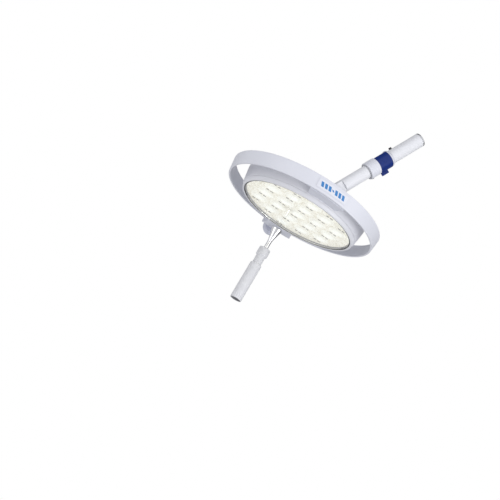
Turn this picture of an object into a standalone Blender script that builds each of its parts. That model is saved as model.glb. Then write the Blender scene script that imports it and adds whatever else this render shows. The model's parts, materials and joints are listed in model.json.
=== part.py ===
"""Dental operating light on its arm end: a tilting ring-shaped lamp head, its stem and its pull-off grip.

The origin is the centre of the arm tube's top end. +Z runs up along the stem, and +X runs from the stem
towards the handle. Heights along the stem ("reach" values) count up from the tilt axis. In the head's own
frame, z is the distance behind the light's front face and x is the distance from the lamp's centre line.
"""

import math

import bmesh
import bpy
from mathutils import Matrix, Vector

MM = 0.001

# --- clearances ---
GAP = 0.3 * MM  # between pieces that touch
CAST_GAP = 0.5 * MM  # between a cast block and the round wall that it follows
RUN_GAP = 0.3 * MM  # round a shaft that turns or slides
CUT_PAST = 5 * MM  # how far a cutter runs past the face that it opens
FUSE = 1 * MM  # how far a joined shape runs into the body that it joins

# --- arm end and stem, heights counted from the tilt axis ---
ARM_REACH = 240 * MM
TUBE_RADIUS = 14.5 * MM
TUBE_WALL = 3.0 * MM
SLEEVE_RADIUS = 18.0 * MM
SLEEVE_LOW = 100 * MM
SLEEVE_HIGH = 160 * MM
SLEEVE_CHAMFER = 4.0 * MM
TUBE_LOW = 142 * MM
CLIP_LOW = 124 * MM
CLIP_HIGH = 154 * MM
CLIP_WALL = 1.7 * MM
CLIP_OPENING = math.radians(74)
CLIP_TURN = math.radians(78)  # from the clip's opening to the lock segment's slot
CLIP_TAB_REACH = 6.5 * MM
CLIP_TAB_WIDTH = 17.0 * MM
CLIP_TAB_THICK = 3.0 * MM
STEM_RADIUS = 13.5 * MM
SPIGOT_RADIUS = 10.0 * MM
SPIGOT_HIGH = 140 * MM
BUSH_WALL = 2.6 * MM
LOWER_BUSH_LENGTH = 21 * MM
UPPER_BUSH_LENGTH = 7 * MM
LOCK_GROOVE_HEIGHT = 128.5 * MM
LOCK_THICK = 3.4 * MM
LOCK_GROOVE_DEPTH = 2.0 * MM
LOCK_ANGLE = math.radians(52)
WASHER_THICK = 0.6 * MM
WASHER_INSET = 1.5 * MM
STEM_LOW = 38 * MM
LEAD_RADIUS = 2.2 * MM
STEM_BORE = 4.5 * MM
PLUG_RADIUS = 2.6 * MM
PLUG_LENGTH = 13 * MM
SOCKET_LENGTH = 26 * MM
END_BORE = 5.0 * MM
END_PLUG_LENGTH = 14 * MM
END_FLANGE = 3.0 * MM
BRAKE_HEIGHT = 170.5 * MM
BRAKE_HEAD_RADIUS = 3.2 * MM
BRAKE_HEAD_HEIGHT = 3.4 * MM
BRAKE_SHANK = 2.0 * MM
BUSH_SCREW_HEIGHT = 104.5 * MM
BUSH_SCREW_RADIUS = 2.2 * MM
BUSH_SCREW_PROUD = 0.8 * MM
SOCKET_RISE = 4 * MM  # spigot's top to the contact socket
PLUG_FOOT = 3 * MM

# --- tilt joint ---
TILT_REST = math.radians(26.8)
TILT_LIMIT = math.radians(45)
HINGE_HEIGHT = 22 * MM
KNUCKLE_RADIUS = 9.0 * MM
TONGUE_HALF = 9.0 * MM
TONGUE_SHOULDER = 14 * MM
TONGUE_PLUG_RADIUS = 9.0 * MM
TONGUE_PLUG_LENGTH = 20 * MM
TONGUE_PIN_RADIUS = 1.8 * MM
TONGUE_PIN_OFFSET = 5.8 * MM
AXLE_RADIUS = 4.0 * MM
AXLE_BORE = 1.9 * MM
AXLE_HEAD_RADIUS = 7.2 * MM
AXLE_HEAD_THICK = 2.4 * MM
HINGE_WASHER = 1.2 * MM
NUT_RADIUS = 7.0 * MM
NUT_THICK = 4.0 * MM
BLOCK_ANGLE = math.radians(14.2)
BLOCK_LOW = 10.4 * MM
BLOCK_HIGH = 34 * MM
POCKET_ROOM = 1.0 * MM  # round the tongue at its tilt limit
LEAD_WAY = 40 * MM  # half length of the cut for the axle, right through the block
NUT_SEAT = 2.2 * MM  # wall's inner face to the axle nut
AXLE_PROUD = 1.0 * MM

# --- lamp head ---
FACE_RADIUS = 126.8 * MM
BEZEL_FRONT_RADIUS = 131.0 * MM
BEZEL_HEIGHT = 8.0 * MM
WALL_LOW_RADIUS = 134.0 * MM
WALL_HIGH_RADIUS = 139.0 * MM
WALL_HIGH = 41.0 * MM
WALL_THICK = 3.0 * MM
SHELF_WIDTH = 12 * MM
SHELF_LOW = 12.0 * MM
SHELF_THICK = 2.7 * MM
SEAL_WIDTH = 1.6 * MM
GLASS_FRONT = 1.0 * MM
GLASS_THICK = 4.0 * MM
LENS_SPACE = 4.0 * MM  # half the flat strip between two lenses
LENS_MARGIN = 9.7 * MM  # outermost lenses to the lens plate's edge
LENS_DEPTH = 2.6 * MM
LENS_PLATE_THICK = 1.6 * MM
LENS_EDGE = 3.6 * MM  # lens plate's edge to the face's edge
LED_BOARD_THICK = 1.5 * MM
SINK_BASE = 4.0 * MM
FIN_HEIGHT = 15 * MM
FIN_THICK = 3.0 * MM
FIN_COUNT = 11
FIN_EDGE = 10 * MM
PAD_INSET = 1.5 * MM
COVER_THICK = 2.5 * MM
COVER_RISE = 22.2 * MM
COVER_RIM_WIDTH = 11.5 * MM
COVER_SCREW_COUNT = 4
SCREW_HEAD_RADIUS = 3.0 * MM
SCREW_HEAD_HEIGHT = 2.2 * MM
SCREW_RADIUS = 1.5 * MM
BOSS_RADIUS = 4.5 * MM
BOSS_LENGTH = 11 * MM
COVER_SCREW_DEPTH = 8 * MM
COVER_SCREW_SEAT = 6.2 * MM
BOARD_LENGTH = 96 * MM
BOARD_WIDTH = 64 * MM
BOARD_THICK = 1.6 * MM

# --- ring ---
RING_TOP_RADIUS = 175.0 * MM
RING_LOW_RADIUS = 171.3 * MM
RING_LOW = 11.8 * MM
RING_HEIGHT = 30.1 * MM
RING_WALL_LOW = 4.2 * MM
RING_WALL_TOP = 6.4 * MM
RING_ROUND = 1.2 * MM
LABEL_ANGLE = math.radians(11.5)
LABEL_THICK = 0.9 * MM
LABEL_HEIGHT = 18 * MM
LABEL_OVERLAP = 1.2 * MM  # how far the label plate reaches past its screw heads

# --- handle side ---
HANDLE_TURN = math.radians(-3.8)  # handle side's turn from the point opposite the joint
BRACKET_ANGLE = math.radians(12.4)
BRACKET_LOW = 1.0 * MM
BRACKET_HIGH = 34 * MM
BRACKET_FLOOR = 11 * MM
NUT_WELL_ROOM = 2.5 * MM
NECK_RADIUS = 12.8 * MM
NECK_FLARE_LENGTH = 33 * MM
NECK_FLARE_CURVE = 1.35  # 1 is a straight cone; more pulls the flare in sooner
NECK_LENGTH = 53 * MM
SHAFT_RADIUS = 5.0 * MM
SHAFT_IN_GRIP = 62 * MM
STUD_RADIUS = 4.0 * MM
GRIP_RADIUS = 13.4 * MM
GRIP_LENGTH = 132 * MM
COLLAR_RADIUS = 13.25 * MM
COLLAR_LENGTH = 19 * MM
GRIP_WAIST_RADIUS = 10.5 * MM
GRIP_WAIST_LENGTH = 20.5 * MM
LINER_WALL = 2.4 * MM
LINER_LENGTH = 70 * MM
END_CAP_THICK = 4.0 * MM
LATCH_DEPTH = 14 * MM
LATCH_WIDTH = 1.8 * MM
POD_RADIUS = 18.5 * MM
POD_HEIGHT = 8.0 * MM
POD_SIDE = 9.0 * MM
POD_DEPTH = 14 * MM
POD_WALL = 2.2 * MM
POD_LINK_HALF = 12 * MM
KNOB_RADIUS = 15.0 * MM
KNOB_DEPTH = 8.5 * MM
ENCODER_RADIUS = 7.0 * MM
DIAL_SHAFT_RADIUS = 3.0 * MM

# --- roundness of the turned pieces ---
RING_SEGMENTS = 64
TUBE_SEGMENTS = 28
CLIP_SEGMENTS = 20
SMALL_SEGMENTS = 16
LEAD_SEGMENTS = 12

WHITE = (0.86, 0.87, 0.88)
PALE = (0.78, 0.80, 0.83)
BLUE = (0.008, 0.05, 0.30)
DARK = (0.06, 0.06, 0.07)
STEEL = (0.62, 0.63, 0.65)
BRASS = (0.70, 0.52, 0.24)
RUBBER = (0.02, 0.02, 0.02)
GREEN = (0.03, 0.16, 0.08)
ALUMINIUM = (0.60, 0.60, 0.62)
CLEAR = (0.95, 0.97, 0.98)
LENS = (0.90, 0.90, 0.86)
CHROME = (0.80, 0.80, 0.82)


def wall_radius(height):
    """Outer radius of the head's tapered wall at a height behind the face."""
    share = (height - BEZEL_HEIGHT) / (WALL_HIGH - BEZEL_HEIGHT)
    return WALL_LOW_RADIUS + share * (WALL_HIGH_RADIUS - WALL_LOW_RADIUS)


def ring_inner(height):
    """Inner radius of the flared ring band at a height behind the face."""
    low = RING_LOW_RADIUS - RING_WALL_LOW
    top = RING_TOP_RADIUS - RING_WALL_TOP
    return low + (top - low) * (height - RING_LOW) / RING_HEIGHT


def ring_outer(height):
    """Outer radius of the flared ring band at a height behind the face."""
    return RING_LOW_RADIUS + (RING_TOP_RADIUS - RING_LOW_RADIUS) * (height - RING_LOW) / RING_HEIGHT


HINGE_RADIUS = (wall_radius(HINGE_HEIGHT) + ring_inner(HINGE_HEIGHT)) / 2
BORE_RADIUS = SPIGOT_RADIUS + RUN_GAP + BUSH_WALL + GAP  # the sleeve's bore for its bushes
CLIP_RECESS = SLEEVE_RADIUS - CLIP_WALL - GAP
SEAL_OUTER = FACE_RADIUS - GAP
GLASS_RADIUS = SEAL_OUTER - SEAL_WIDTH - GAP
GLASS_BACK = GLASS_FRONT + GLASS_THICK
LENS_PLATE_RADIUS = FACE_RADIUS - LENS_EDGE
LENS_PITCH = (LENS_PLATE_RADIUS - LENS_MARGIN + LENS_SPACE) / 2.5
LENS_RADIUS = LENS_PITCH / 2 - LENS_SPACE
LENS_BACK = SHELF_LOW - LED_BOARD_THICK - 2 * GAP
SHELF_RADIUS = wall_radius(SHELF_LOW) - WALL_THICK - SHELF_WIDTH
SINK_LOW = SHELF_LOW + SHELF_THICK + GAP
SINK_RADIUS = SHELF_RADIUS + 5 * MM
FIN_TOP = SINK_LOW + SINK_BASE + FIN_HEIGHT
COVER_LOW = WALL_HIGH + GAP
COVER_TOP = COVER_LOW + COVER_RISE
GRIP_TOP = BRACKET_LOW - GAP - NECK_LENGTH
GRIP_LOW = GRIP_TOP - GRIP_LENGTH
POD_BACK = RING_TOP_RADIUS + 1.0 * MM


def clear_scene():
    for obj in list(bpy.data.objects):
        bpy.data.objects.remove(obj, do_unlink=True)


def make_material(name, colour, roughness, metallic=0.0):
    material = bpy.data.materials.new(name)
    material.use_nodes = True
    shader = material.node_tree.nodes["Principled BSDF"]
    shader.inputs["Base Color"].default_value = (*colour, 1.0)
    shader.inputs["Roughness"].default_value = roughness
    shader.inputs["Metallic"].default_value = metallic
    material.diffuse_color = (*colour, 1.0)
    return material


def add_empty(name, location=(0, 0, 0), turn=(0, 0, 0), parent=None):
    empty = bpy.data.objects.new(name, None)
    empty.location = location
    empty.rotation_euler = turn
    empty.parent = parent
    empty.empty_display_size = 10 * MM
    bpy.context.scene.collection.objects.link(empty)
    return empty


def add_object(name, form, parent=None, at=(0, 0, 0), turn=(0, 0, 0), finish=None):
    """Makes one named object of a bmesh, with outward faces, smooth where it is round."""
    bmesh.ops.recalc_face_normals(form, faces=form.faces)
    mesh = bpy.data.meshes.new(name)
    form.to_mesh(mesh)
    form.free()
    mesh.shade_smooth()
    mesh.set_sharp_from_angle(angle=math.radians(32))
    obj = bpy.data.objects.new(name, mesh)
    obj.parent = parent
    obj.location = at
    obj.rotation_euler = turn
    if finish is not None:
        mesh.materials.append(make_material(name, *finish))
    bpy.context.scene.collection.objects.link(obj)
    return obj


def join_forms(*forms):
    """Puts several bmeshes into the first one."""
    first = forms[0]
    for other in forms[1:]:
        spare = bpy.data.meshes.new("spare")
        other.to_mesh(spare)
        other.free()
        first.from_mesh(spare)
        bpy.data.meshes.remove(spare)
    return first


def turned(profile, segments, low_angle=None, high_angle=None):
    """Turns an outline of (radius, height) points about Z: a full turn, or a sector with flat ends.

    An outline that starts and ends on the axis is left open there; any other closes on itself.
    """
    form = bmesh.new()
    full = low_angle is None
    count = segments if full else segments + 1
    start = 0.0 if full else low_angle
    step = 2 * math.pi / segments if full else (high_angle - low_angle) / segments
    rings = []
    for radius, height in profile:
        if radius == 0:
            rings.append([form.verts.new((0, 0, height))] * count)
            continue
        angles = [start + step * index for index in range(count)]
        rings.append([form.verts.new((radius * math.cos(a), radius * math.sin(a), height)) for a in angles])
    on_axis = profile[0][0] == 0
    pairs = list(zip(rings, rings[1:])) if on_axis else list(zip(rings, rings[1:] + rings[:1]))
    for first, second in pairs:
        for index in range(segments):
            after = (index + 1) % count
            corners = [first[index], first[after], second[after], second[index]]
            face = list(dict.fromkeys(corners))
            form.faces.new(face)
    if not full:
        form.faces.new([ring[0] for ring in rings])
        form.faces.new([ring[-1] for ring in rings])
    return form


def cylinder(radius, low, high, segments=SMALL_SEGMENTS):
    return turned([(0, high), (radius, high), (radius, low), (0, low)], segments)


def band_outline(outer, inner, low, high):
    return [(outer, high), (outer, low), (inner, low), (inner, high)]


def pipe(outer, inner, low, high, segments=SMALL_SEGMENTS):
    return turned(band_outline(outer, inner, low, high), segments)


def box(low, high):
    form = bmesh.new()
    bmesh.ops.create_cube(form, size=1.0)
    size = Vector(high) - Vector(low)
    centre = (Vector(high) + Vector(low)) / 2
    bmesh.ops.transform(form, matrix=Matrix.Diagonal(size).to_4x4(), verts=form.verts)
    bmesh.ops.translate(form, vec=centre, verts=form.verts)
    return form


def extruded_x(outline, low, high):
    """A prism along X of an outline of (y, z) points."""
    form = bmesh.new()
    ends = [[form.verts.new((x, y, z)) for y, z in outline] for x in (low, high)]
    form.faces.new(ends[0])
    form.faces.new(ends[1])
    for index in range(len(outline)):
        after = (index + 1) % len(outline)
        form.faces.new([ends[0][index], ends[0][after], ends[1][after], ends[1][index]])
    return form


def shape_with(target, name, form, operation="DIFFERENCE", at=(0, 0, 0), turn=(0, 0, 0)):
    """Cuts, joins or trims the target with a hidden helper that keeps the target's parent."""
    helper = add_object(target.name + "_" + name, form, target.parent, at, turn)
    helper.hide_render = True
    helper.display_type = "WIRE"
    modifier = target.modifiers.new(name, "BOOLEAN")
    modifier.operation = operation
    modifier.object = helper
    modifier.solver = "EXACT"
    return helper


def add_nut(name, parent, thread_radius, low, high, at, turn):
    """A six-sided nut with a round bore."""
    nut = add_object(name, cylinder(NUT_RADIUS, low, high, 6), parent, at, turn, (STEEL, 0.35, 1.0))
    shape_with(nut, "bore", cylinder(thread_radius + GAP, low - CUT_PAST, high + CUT_PAST), at=at, turn=turn)


ALONG_X = (0, math.pi / 2, 0)  # turns a piece's own Z onto +X
ALONG_Y = (-math.pi / 2, 0, 0)  # turns a piece's own Z onto +Y


def world_height(reach):
    return reach - ARM_REACH


def build_arm():
    """The fixed end: tube, bearing sleeve, bushes, lock segment and contact."""
    tilt_level = world_height(0)
    base = add_empty("stem_axis", (0, 0, tilt_level))
    tube_bore = TUBE_RADIUS - TUBE_WALL

    tube = add_object(
        "arm_tube",
        pipe(TUBE_RADIUS, tube_bore, TUBE_LOW, ARM_REACH - END_FLANGE - GAP, TUBE_SEGMENTS),
        base,
        finish=(WHITE, 0.35),
    )
    brake_hole = cylinder(BRAKE_SHANK + RUN_GAP, tube_bore - CUT_PAST, TUBE_RADIUS + CUT_PAST)
    shape_with(tube, "brake_hole", brake_hole, at=(0, 0, BRAKE_HEIGHT), turn=ALONG_Y)

    plug_radius = tube_bore - GAP
    add_object(
        "arm_end_plug",
        turned(
            [
                (TUBE_RADIUS, ARM_REACH),
                (TUBE_RADIUS, ARM_REACH - END_FLANGE),
                (plug_radius, ARM_REACH - END_FLANGE),
                (plug_radius, ARM_REACH - END_PLUG_LENGTH),
                (END_BORE, ARM_REACH - END_PLUG_LENGTH),
                (END_BORE, ARM_REACH),
            ],
            TUBE_SEGMENTS,
        ),
        base,
        finish=(STEEL, 0.4, 1.0),
    )

    tube_seat = TUBE_RADIUS + GAP
    seat_low = TUBE_LOW - GAP
    top_radius = SLEEVE_RADIUS - 2.2 * MM
    sleeve = add_object(
        "arm_sleeve",
        turned(
            [
                (top_radius, SLEEVE_HIGH),
                (SLEEVE_RADIUS, SLEEVE_HIGH - SLEEVE_CHAMFER),
                (SLEEVE_RADIUS, CLIP_HIGH + GAP),
                (CLIP_RECESS, CLIP_HIGH + GAP),
                (CLIP_RECESS, CLIP_LOW - GAP),
                (SLEEVE_RADIUS, CLIP_LOW - GAP),
                (SLEEVE_RADIUS, SLEEVE_LOW + 1 * MM),
                (SLEEVE_RADIUS - 1 * MM, SLEEVE_LOW),
                (BORE_RADIUS, SLEEVE_LOW),
                (BORE_RADIUS, seat_low),
                (tube_seat, seat_low),
                (tube_seat, SLEEVE_HIGH),
            ],
            TUBE_SEGMENTS,
        ),
        base,
        finish=(WHITE, 0.3),
    )
    slot_half = LOCK_ANGLE / 2 + math.radians(2)
    slot_low = LOCK_GROOVE_HEIGHT - LOCK_THICK / 2 - GAP
    slot_high = LOCK_GROOVE_HEIGHT + LOCK_THICK / 2 + GAP
    slot_inner = BORE_RADIUS - FUSE
    slot_outer = SLEEVE_RADIUS + FUSE
    slot_outline = band_outline(slot_outer, slot_inner, slot_low, slot_high)
    shape_with(sleeve, "lock_slot", turned(slot_outline, 8, -slot_half, slot_half))
    screw_hole = cylinder(BUSH_SCREW_RADIUS + GAP, BORE_RADIUS - FUSE, SLEEVE_RADIUS + CUT_PAST)
    shape_with(sleeve, "screw_hole", screw_hole, at=(0, 0, BUSH_SCREW_HEIGHT), turn=(math.pi / 2, 0, 0))

    add_object(
        "bush_screw",
        cylinder(BUSH_SCREW_RADIUS, BORE_RADIUS + GAP, SLEEVE_RADIUS + BUSH_SCREW_PROUD),
        base,
        at=(0, 0, BUSH_SCREW_HEIGHT),
        turn=(math.pi / 2, 0, 0),
        finish=(DARK, 0.4, 0.6),
    )

    bush_bore = SPIGOT_RADIUS + RUN_GAP
    bush_outer = bush_bore + BUSH_WALL
    lower_low = SLEEVE_LOW + GAP
    add_object(
        "lower_bush",
        pipe(bush_outer, bush_bore, lower_low, lower_low + LOWER_BUSH_LENGTH, TUBE_SEGMENTS),
        base,
        finish=(BRASS, 0.4, 1.0),
    )
    upper_high = TUBE_LOW - GAP - 1 * MM
    add_object(
        "upper_bush",
        pipe(bush_outer, bush_bore, upper_high - UPPER_BUSH_LENGTH, upper_high, TUBE_SEGMENTS),
        base,
        finish=(BRASS, 0.4, 1.0),
    )

    half = LOCK_ANGLE / 2
    groove_floor = SPIGOT_RADIUS - LOCK_GROOVE_DEPTH
    lock_inner = groove_floor + RUN_GAP
    lock_outer = CLIP_RECESS - GAP
    lock_low = LOCK_GROOVE_HEIGHT - LOCK_THICK / 2
    lock_high = LOCK_GROOVE_HEIGHT + LOCK_THICK / 2
    lock_outline = band_outline(lock_outer, lock_inner, lock_low, lock_high)
    add_object("lock_segment", turned(lock_outline, 8, -half, half), base, finish=(STEEL, 0.35, 1.0))

    socket_low = SPIGOT_HIGH + SOCKET_RISE
    socket_radius = tube_bore - GAP
    contact_depth = SPIGOT_HIGH + PLUG_FOOT + PLUG_LENGTH + FUSE
    add_object(
        "contact_socket",
        turned(
            [
                (0, socket_low + SOCKET_LENGTH),
                (socket_radius, socket_low + SOCKET_LENGTH),
                (socket_radius, socket_low),
                (PLUG_RADIUS + RUN_GAP, socket_low),
                (PLUG_RADIUS + RUN_GAP, contact_depth),
                (0, contact_depth),
            ],
            TUBE_SEGMENTS,
        ),
        base,
        finish=(DARK, 0.5),
    )
    lead_low = socket_low + SOCKET_LENGTH + GAP
    add_object(
        "arm_lead",
        cylinder(LEAD_RADIUS, lead_low, ARM_REACH - 2 * MM, LEAD_SEGMENTS),
        base,
        finish=(RUBBER, 0.6),
    )
    return base


def build_clip(base):
    """The blue snap clip: an open band with a finger tab, turning about the stem's axis."""
    clip_axis = add_empty("clip_axis", parent=base)
    inner = SLEEVE_RADIUS - CLIP_WALL
    open_low = CLIP_TURN - CLIP_OPENING / 2
    outline = band_outline(SLEEVE_RADIUS, inner, CLIP_LOW, CLIP_HIGH)
    band = turned(outline, CLIP_SEGMENTS, open_low + CLIP_OPENING, open_low + 2 * math.pi)
    clip = add_object("lock_clip", band, clip_axis, finish=(BLUE, 0.35))
    tab_low = CLIP_LOW + 1.5 * MM
    root = inner + 0.4 * MM
    tab = box((-CLIP_TAB_THICK, root, tab_low), (0, SLEEVE_RADIUS + CLIP_TAB_REACH, tab_low + CLIP_TAB_WIDTH))
    shape_with(clip, "tab", tab, "UNION", turn=(0, 0, math.pi))


def build_brake_screw(base):
    axis = add_empty("brake_screw_axis", (0, 0, BRAKE_HEIGHT), ALONG_Y, base)
    head_low = TUBE_RADIUS + GAP
    head_high = head_low + BRAKE_HEAD_HEIGHT
    screw = add_object(
        "brake_screw",
        turned(
            [
                (0, head_high),
                (BRAKE_HEAD_RADIUS - 0.5 * MM, head_high),
                (BRAKE_HEAD_RADIUS, head_high - 0.5 * MM),
                (BRAKE_HEAD_RADIUS, head_low),
                (BRAKE_SHANK, head_low),
                (BRAKE_SHANK, TUBE_RADIUS - TUBE_WALL + 0.5 * MM),
                (0, TUBE_RADIUS - TUBE_WALL + 0.5 * MM),
            ],
            SMALL_SEGMENTS,
        ),
        axis,
        finish=(DARK, 0.4, 0.5),
    )
    slot = box((-5 * MM, -0.5 * MM, head_high - 1 * MM), (5 * MM, 0.5 * MM, head_high + 1 * MM))
    shape_with(screw, "slot", slot)


def build_stem(base):
    """The turning stem: round tube with spigot, flattened tongue, contact plug and lead."""
    axis = add_empty("stem_swivel_axis", parent=base)
    washer_low = SLEEVE_LOW - GAP - WASHER_THICK
    shoulder = washer_low - GAP
    plug_seat = STEM_LOW + TONGUE_PLUG_LENGTH + FUSE
    plug_bore = TONGUE_PLUG_RADIUS + GAP
    groove_half = LOCK_THICK / 2 + RUN_GAP
    groove_floor = SPIGOT_RADIUS - LOCK_GROOVE_DEPTH
    stem = add_object(
        "stem_tube",
        turned(
            [
                (SPIGOT_RADIUS, SPIGOT_HIGH),
                (SPIGOT_RADIUS, LOCK_GROOVE_HEIGHT + groove_half),
                (groove_floor, LOCK_GROOVE_HEIGHT + groove_half),
                (groove_floor, LOCK_GROOVE_HEIGHT - groove_half),
                (SPIGOT_RADIUS, LOCK_GROOVE_HEIGHT - groove_half),
                (SPIGOT_RADIUS, shoulder),
                (STEM_RADIUS - 0.5 * MM, shoulder),
                (STEM_RADIUS, shoulder - 0.5 * MM),
                (STEM_RADIUS, STEM_LOW),
                (plug_bore, STEM_LOW),
                (plug_bore, plug_seat),
                (STEM_BORE, plug_seat),
                (STEM_BORE, SPIGOT_HIGH),
            ],
            TUBE_SEGMENTS,
        ),
        axis,
        finish=(WHITE, 0.35),
    )
    pin_height = STEM_LOW + TONGUE_PLUG_LENGTH / 2
    pin_place = (TONGUE_PIN_OFFSET, 0, pin_height)
    pin_hole = TONGUE_PIN_RADIUS + GAP
    shape_with(stem, "pin_hole", cylinder(pin_hole, -STEM_RADIUS, STEM_RADIUS), at=pin_place, turn=ALONG_Y)

    washer_outer = SLEEVE_RADIUS - WASHER_INSET
    washer_high = washer_low + WASHER_THICK
    washer = pipe(washer_outer, SPIGOT_RADIUS + RUN_GAP, washer_low, washer_high, TUBE_SEGMENTS)
    add_object("thrust_washer", washer, axis, finish=(DARK, 0.5))

    knuckle_steps = 12
    lower_arc = [math.pi + math.pi * index / knuckle_steps for index in range(knuckle_steps + 1)]
    outline = [(KNUCKLE_RADIUS * math.cos(a), KNUCKLE_RADIUS * math.sin(a)) for a in lower_arc]
    wide = STEM_RADIUS + 1 * MM
    tongue_top = STEM_LOW - GAP
    outline += [(wide, TONGUE_SHOULDER), (wide, tongue_top), (-wide, tongue_top), (-wide, TONGUE_SHOULDER)]
    flat = extruded_x(outline, -TONGUE_HALF, TONGUE_HALF)
    tongue = add_object("stem_tongue", flat, axis, finish=(WHITE, 0.35))
    round_low = -KNUCKLE_RADIUS - CUT_PAST
    shape_with(tongue, "round", cylinder(STEM_RADIUS, round_low, STEM_LOW, TUBE_SEGMENTS), "INTERSECT")
    spigot_top = STEM_LOW + TONGUE_PLUG_LENGTH
    spigot = cylinder(TONGUE_PLUG_RADIUS, tongue_top - FUSE, spigot_top, TUBE_SEGMENTS)
    shape_with(tongue, "spigot", spigot, "UNION")
    hinge_bore = cylinder(AXLE_RADIUS + RUN_GAP, -TONGUE_HALF - CUT_PAST, TONGUE_HALF + CUT_PAST)
    shape_with(tongue, "hinge_bore", hinge_bore, turn=ALONG_X)
    lead_bore = cylinder(LEAD_RADIUS + GAP, 2 * MM, STEM_LOW + TONGUE_PLUG_LENGTH + CUT_PAST, LEAD_SEGMENTS)
    shape_with(tongue, "lead_bore", lead_bore)
    shape_with(tongue, "pin_hole", cylinder(pin_hole, -STEM_RADIUS, STEM_RADIUS), at=pin_place, turn=ALONG_Y)

    pin_half = math.sqrt(STEM_RADIUS**2 - (TONGUE_PIN_OFFSET + pin_hole) ** 2) - 0.6 * MM
    add_object(
        "tongue_pin",
        cylinder(TONGUE_PIN_RADIUS, -pin_half, pin_half),
        axis,
        at=pin_place,
        turn=ALONG_Y,
        finish=(STEEL, 0.3, 1.0),
    )
    plug_low = SPIGOT_HIGH + GAP
    plug_foot = SPIGOT_HIGH + PLUG_FOOT
    add_object(
        "contact_plug",
        turned(
            [
                (0, plug_foot + PLUG_LENGTH),
                (PLUG_RADIUS - 1 * MM, plug_foot + PLUG_LENGTH),
                (PLUG_RADIUS, plug_foot + PLUG_LENGTH - 1 * MM),
                (PLUG_RADIUS, plug_foot),
                (SPIGOT_RADIUS - 1.5 * MM, plug_foot),
                (SPIGOT_RADIUS - 1.5 * MM, plug_low),
                (0, plug_low),
            ],
            SMALL_SEGMENTS,
        ),
        axis,
        finish=(BRASS, 0.3, 1.0),
    )
    lead_low = AXLE_RADIUS + RUN_GAP + 6 * MM
    add_object(
        "stem_lead",
        cylinder(LEAD_RADIUS, lead_low, SPIGOT_HIGH - GAP, LEAD_SEGMENTS),
        axis,
        finish=(RUBBER, 0.6),
    )


def build_ring(head):
    """The open ring band, with the screw holes of the joint block."""
    top = RING_LOW + RING_HEIGHT
    low_inner = RING_LOW_RADIUS - RING_WALL_LOW
    top_inner = RING_TOP_RADIUS - RING_WALL_TOP
    ring = add_object(
        "outer_ring",
        turned(
            [
                (RING_TOP_RADIUS - RING_ROUND, top),
                (RING_TOP_RADIUS, top - RING_ROUND),
                (RING_LOW_RADIUS, RING_LOW + RING_ROUND),
                (RING_LOW_RADIUS - RING_ROUND, RING_LOW),
                (low_inner + RING_ROUND, RING_LOW),
                (low_inner, RING_LOW + RING_ROUND),
                (top_inner, top - RING_ROUND),
                (top_inner + RING_ROUND, top),
            ],
            RING_SEGMENTS,
        ),
        head,
        finish=(WHITE, 0.35),
    )
    for index, angle in enumerate(block_screw_angles(), 1):
        turn = (0, math.pi / 2, angle)
        at = (0, 0, HINGE_HEIGHT)
        clear = cylinder(SCREW_RADIUS + GAP, low_inner - CUT_PAST, RING_TOP_RADIUS + CUT_PAST)
        shape_with(ring, f"screw_hole_{index}", clear, at=at, turn=turn)
        seat = ring_outer(HINGE_HEIGHT) - SCREW_HEAD_HEIGHT - GAP
        recess = cylinder(SCREW_HEAD_RADIUS + GAP, seat, RING_TOP_RADIUS + CUT_PAST)
        shape_with(ring, f"screw_recess_{index}", recess, at=at, turn=turn)
    return ring


def block_screw_angles():
    """Angles of the two screws: under the label plate's ends, either side of the tilt pocket."""
    inset = (SCREW_HEAD_RADIUS + LABEL_OVERLAP) / RING_TOP_RADIUS
    angle = LABEL_ANGLE - inset
    return (math.pi - angle, math.pi + angle)


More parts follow.
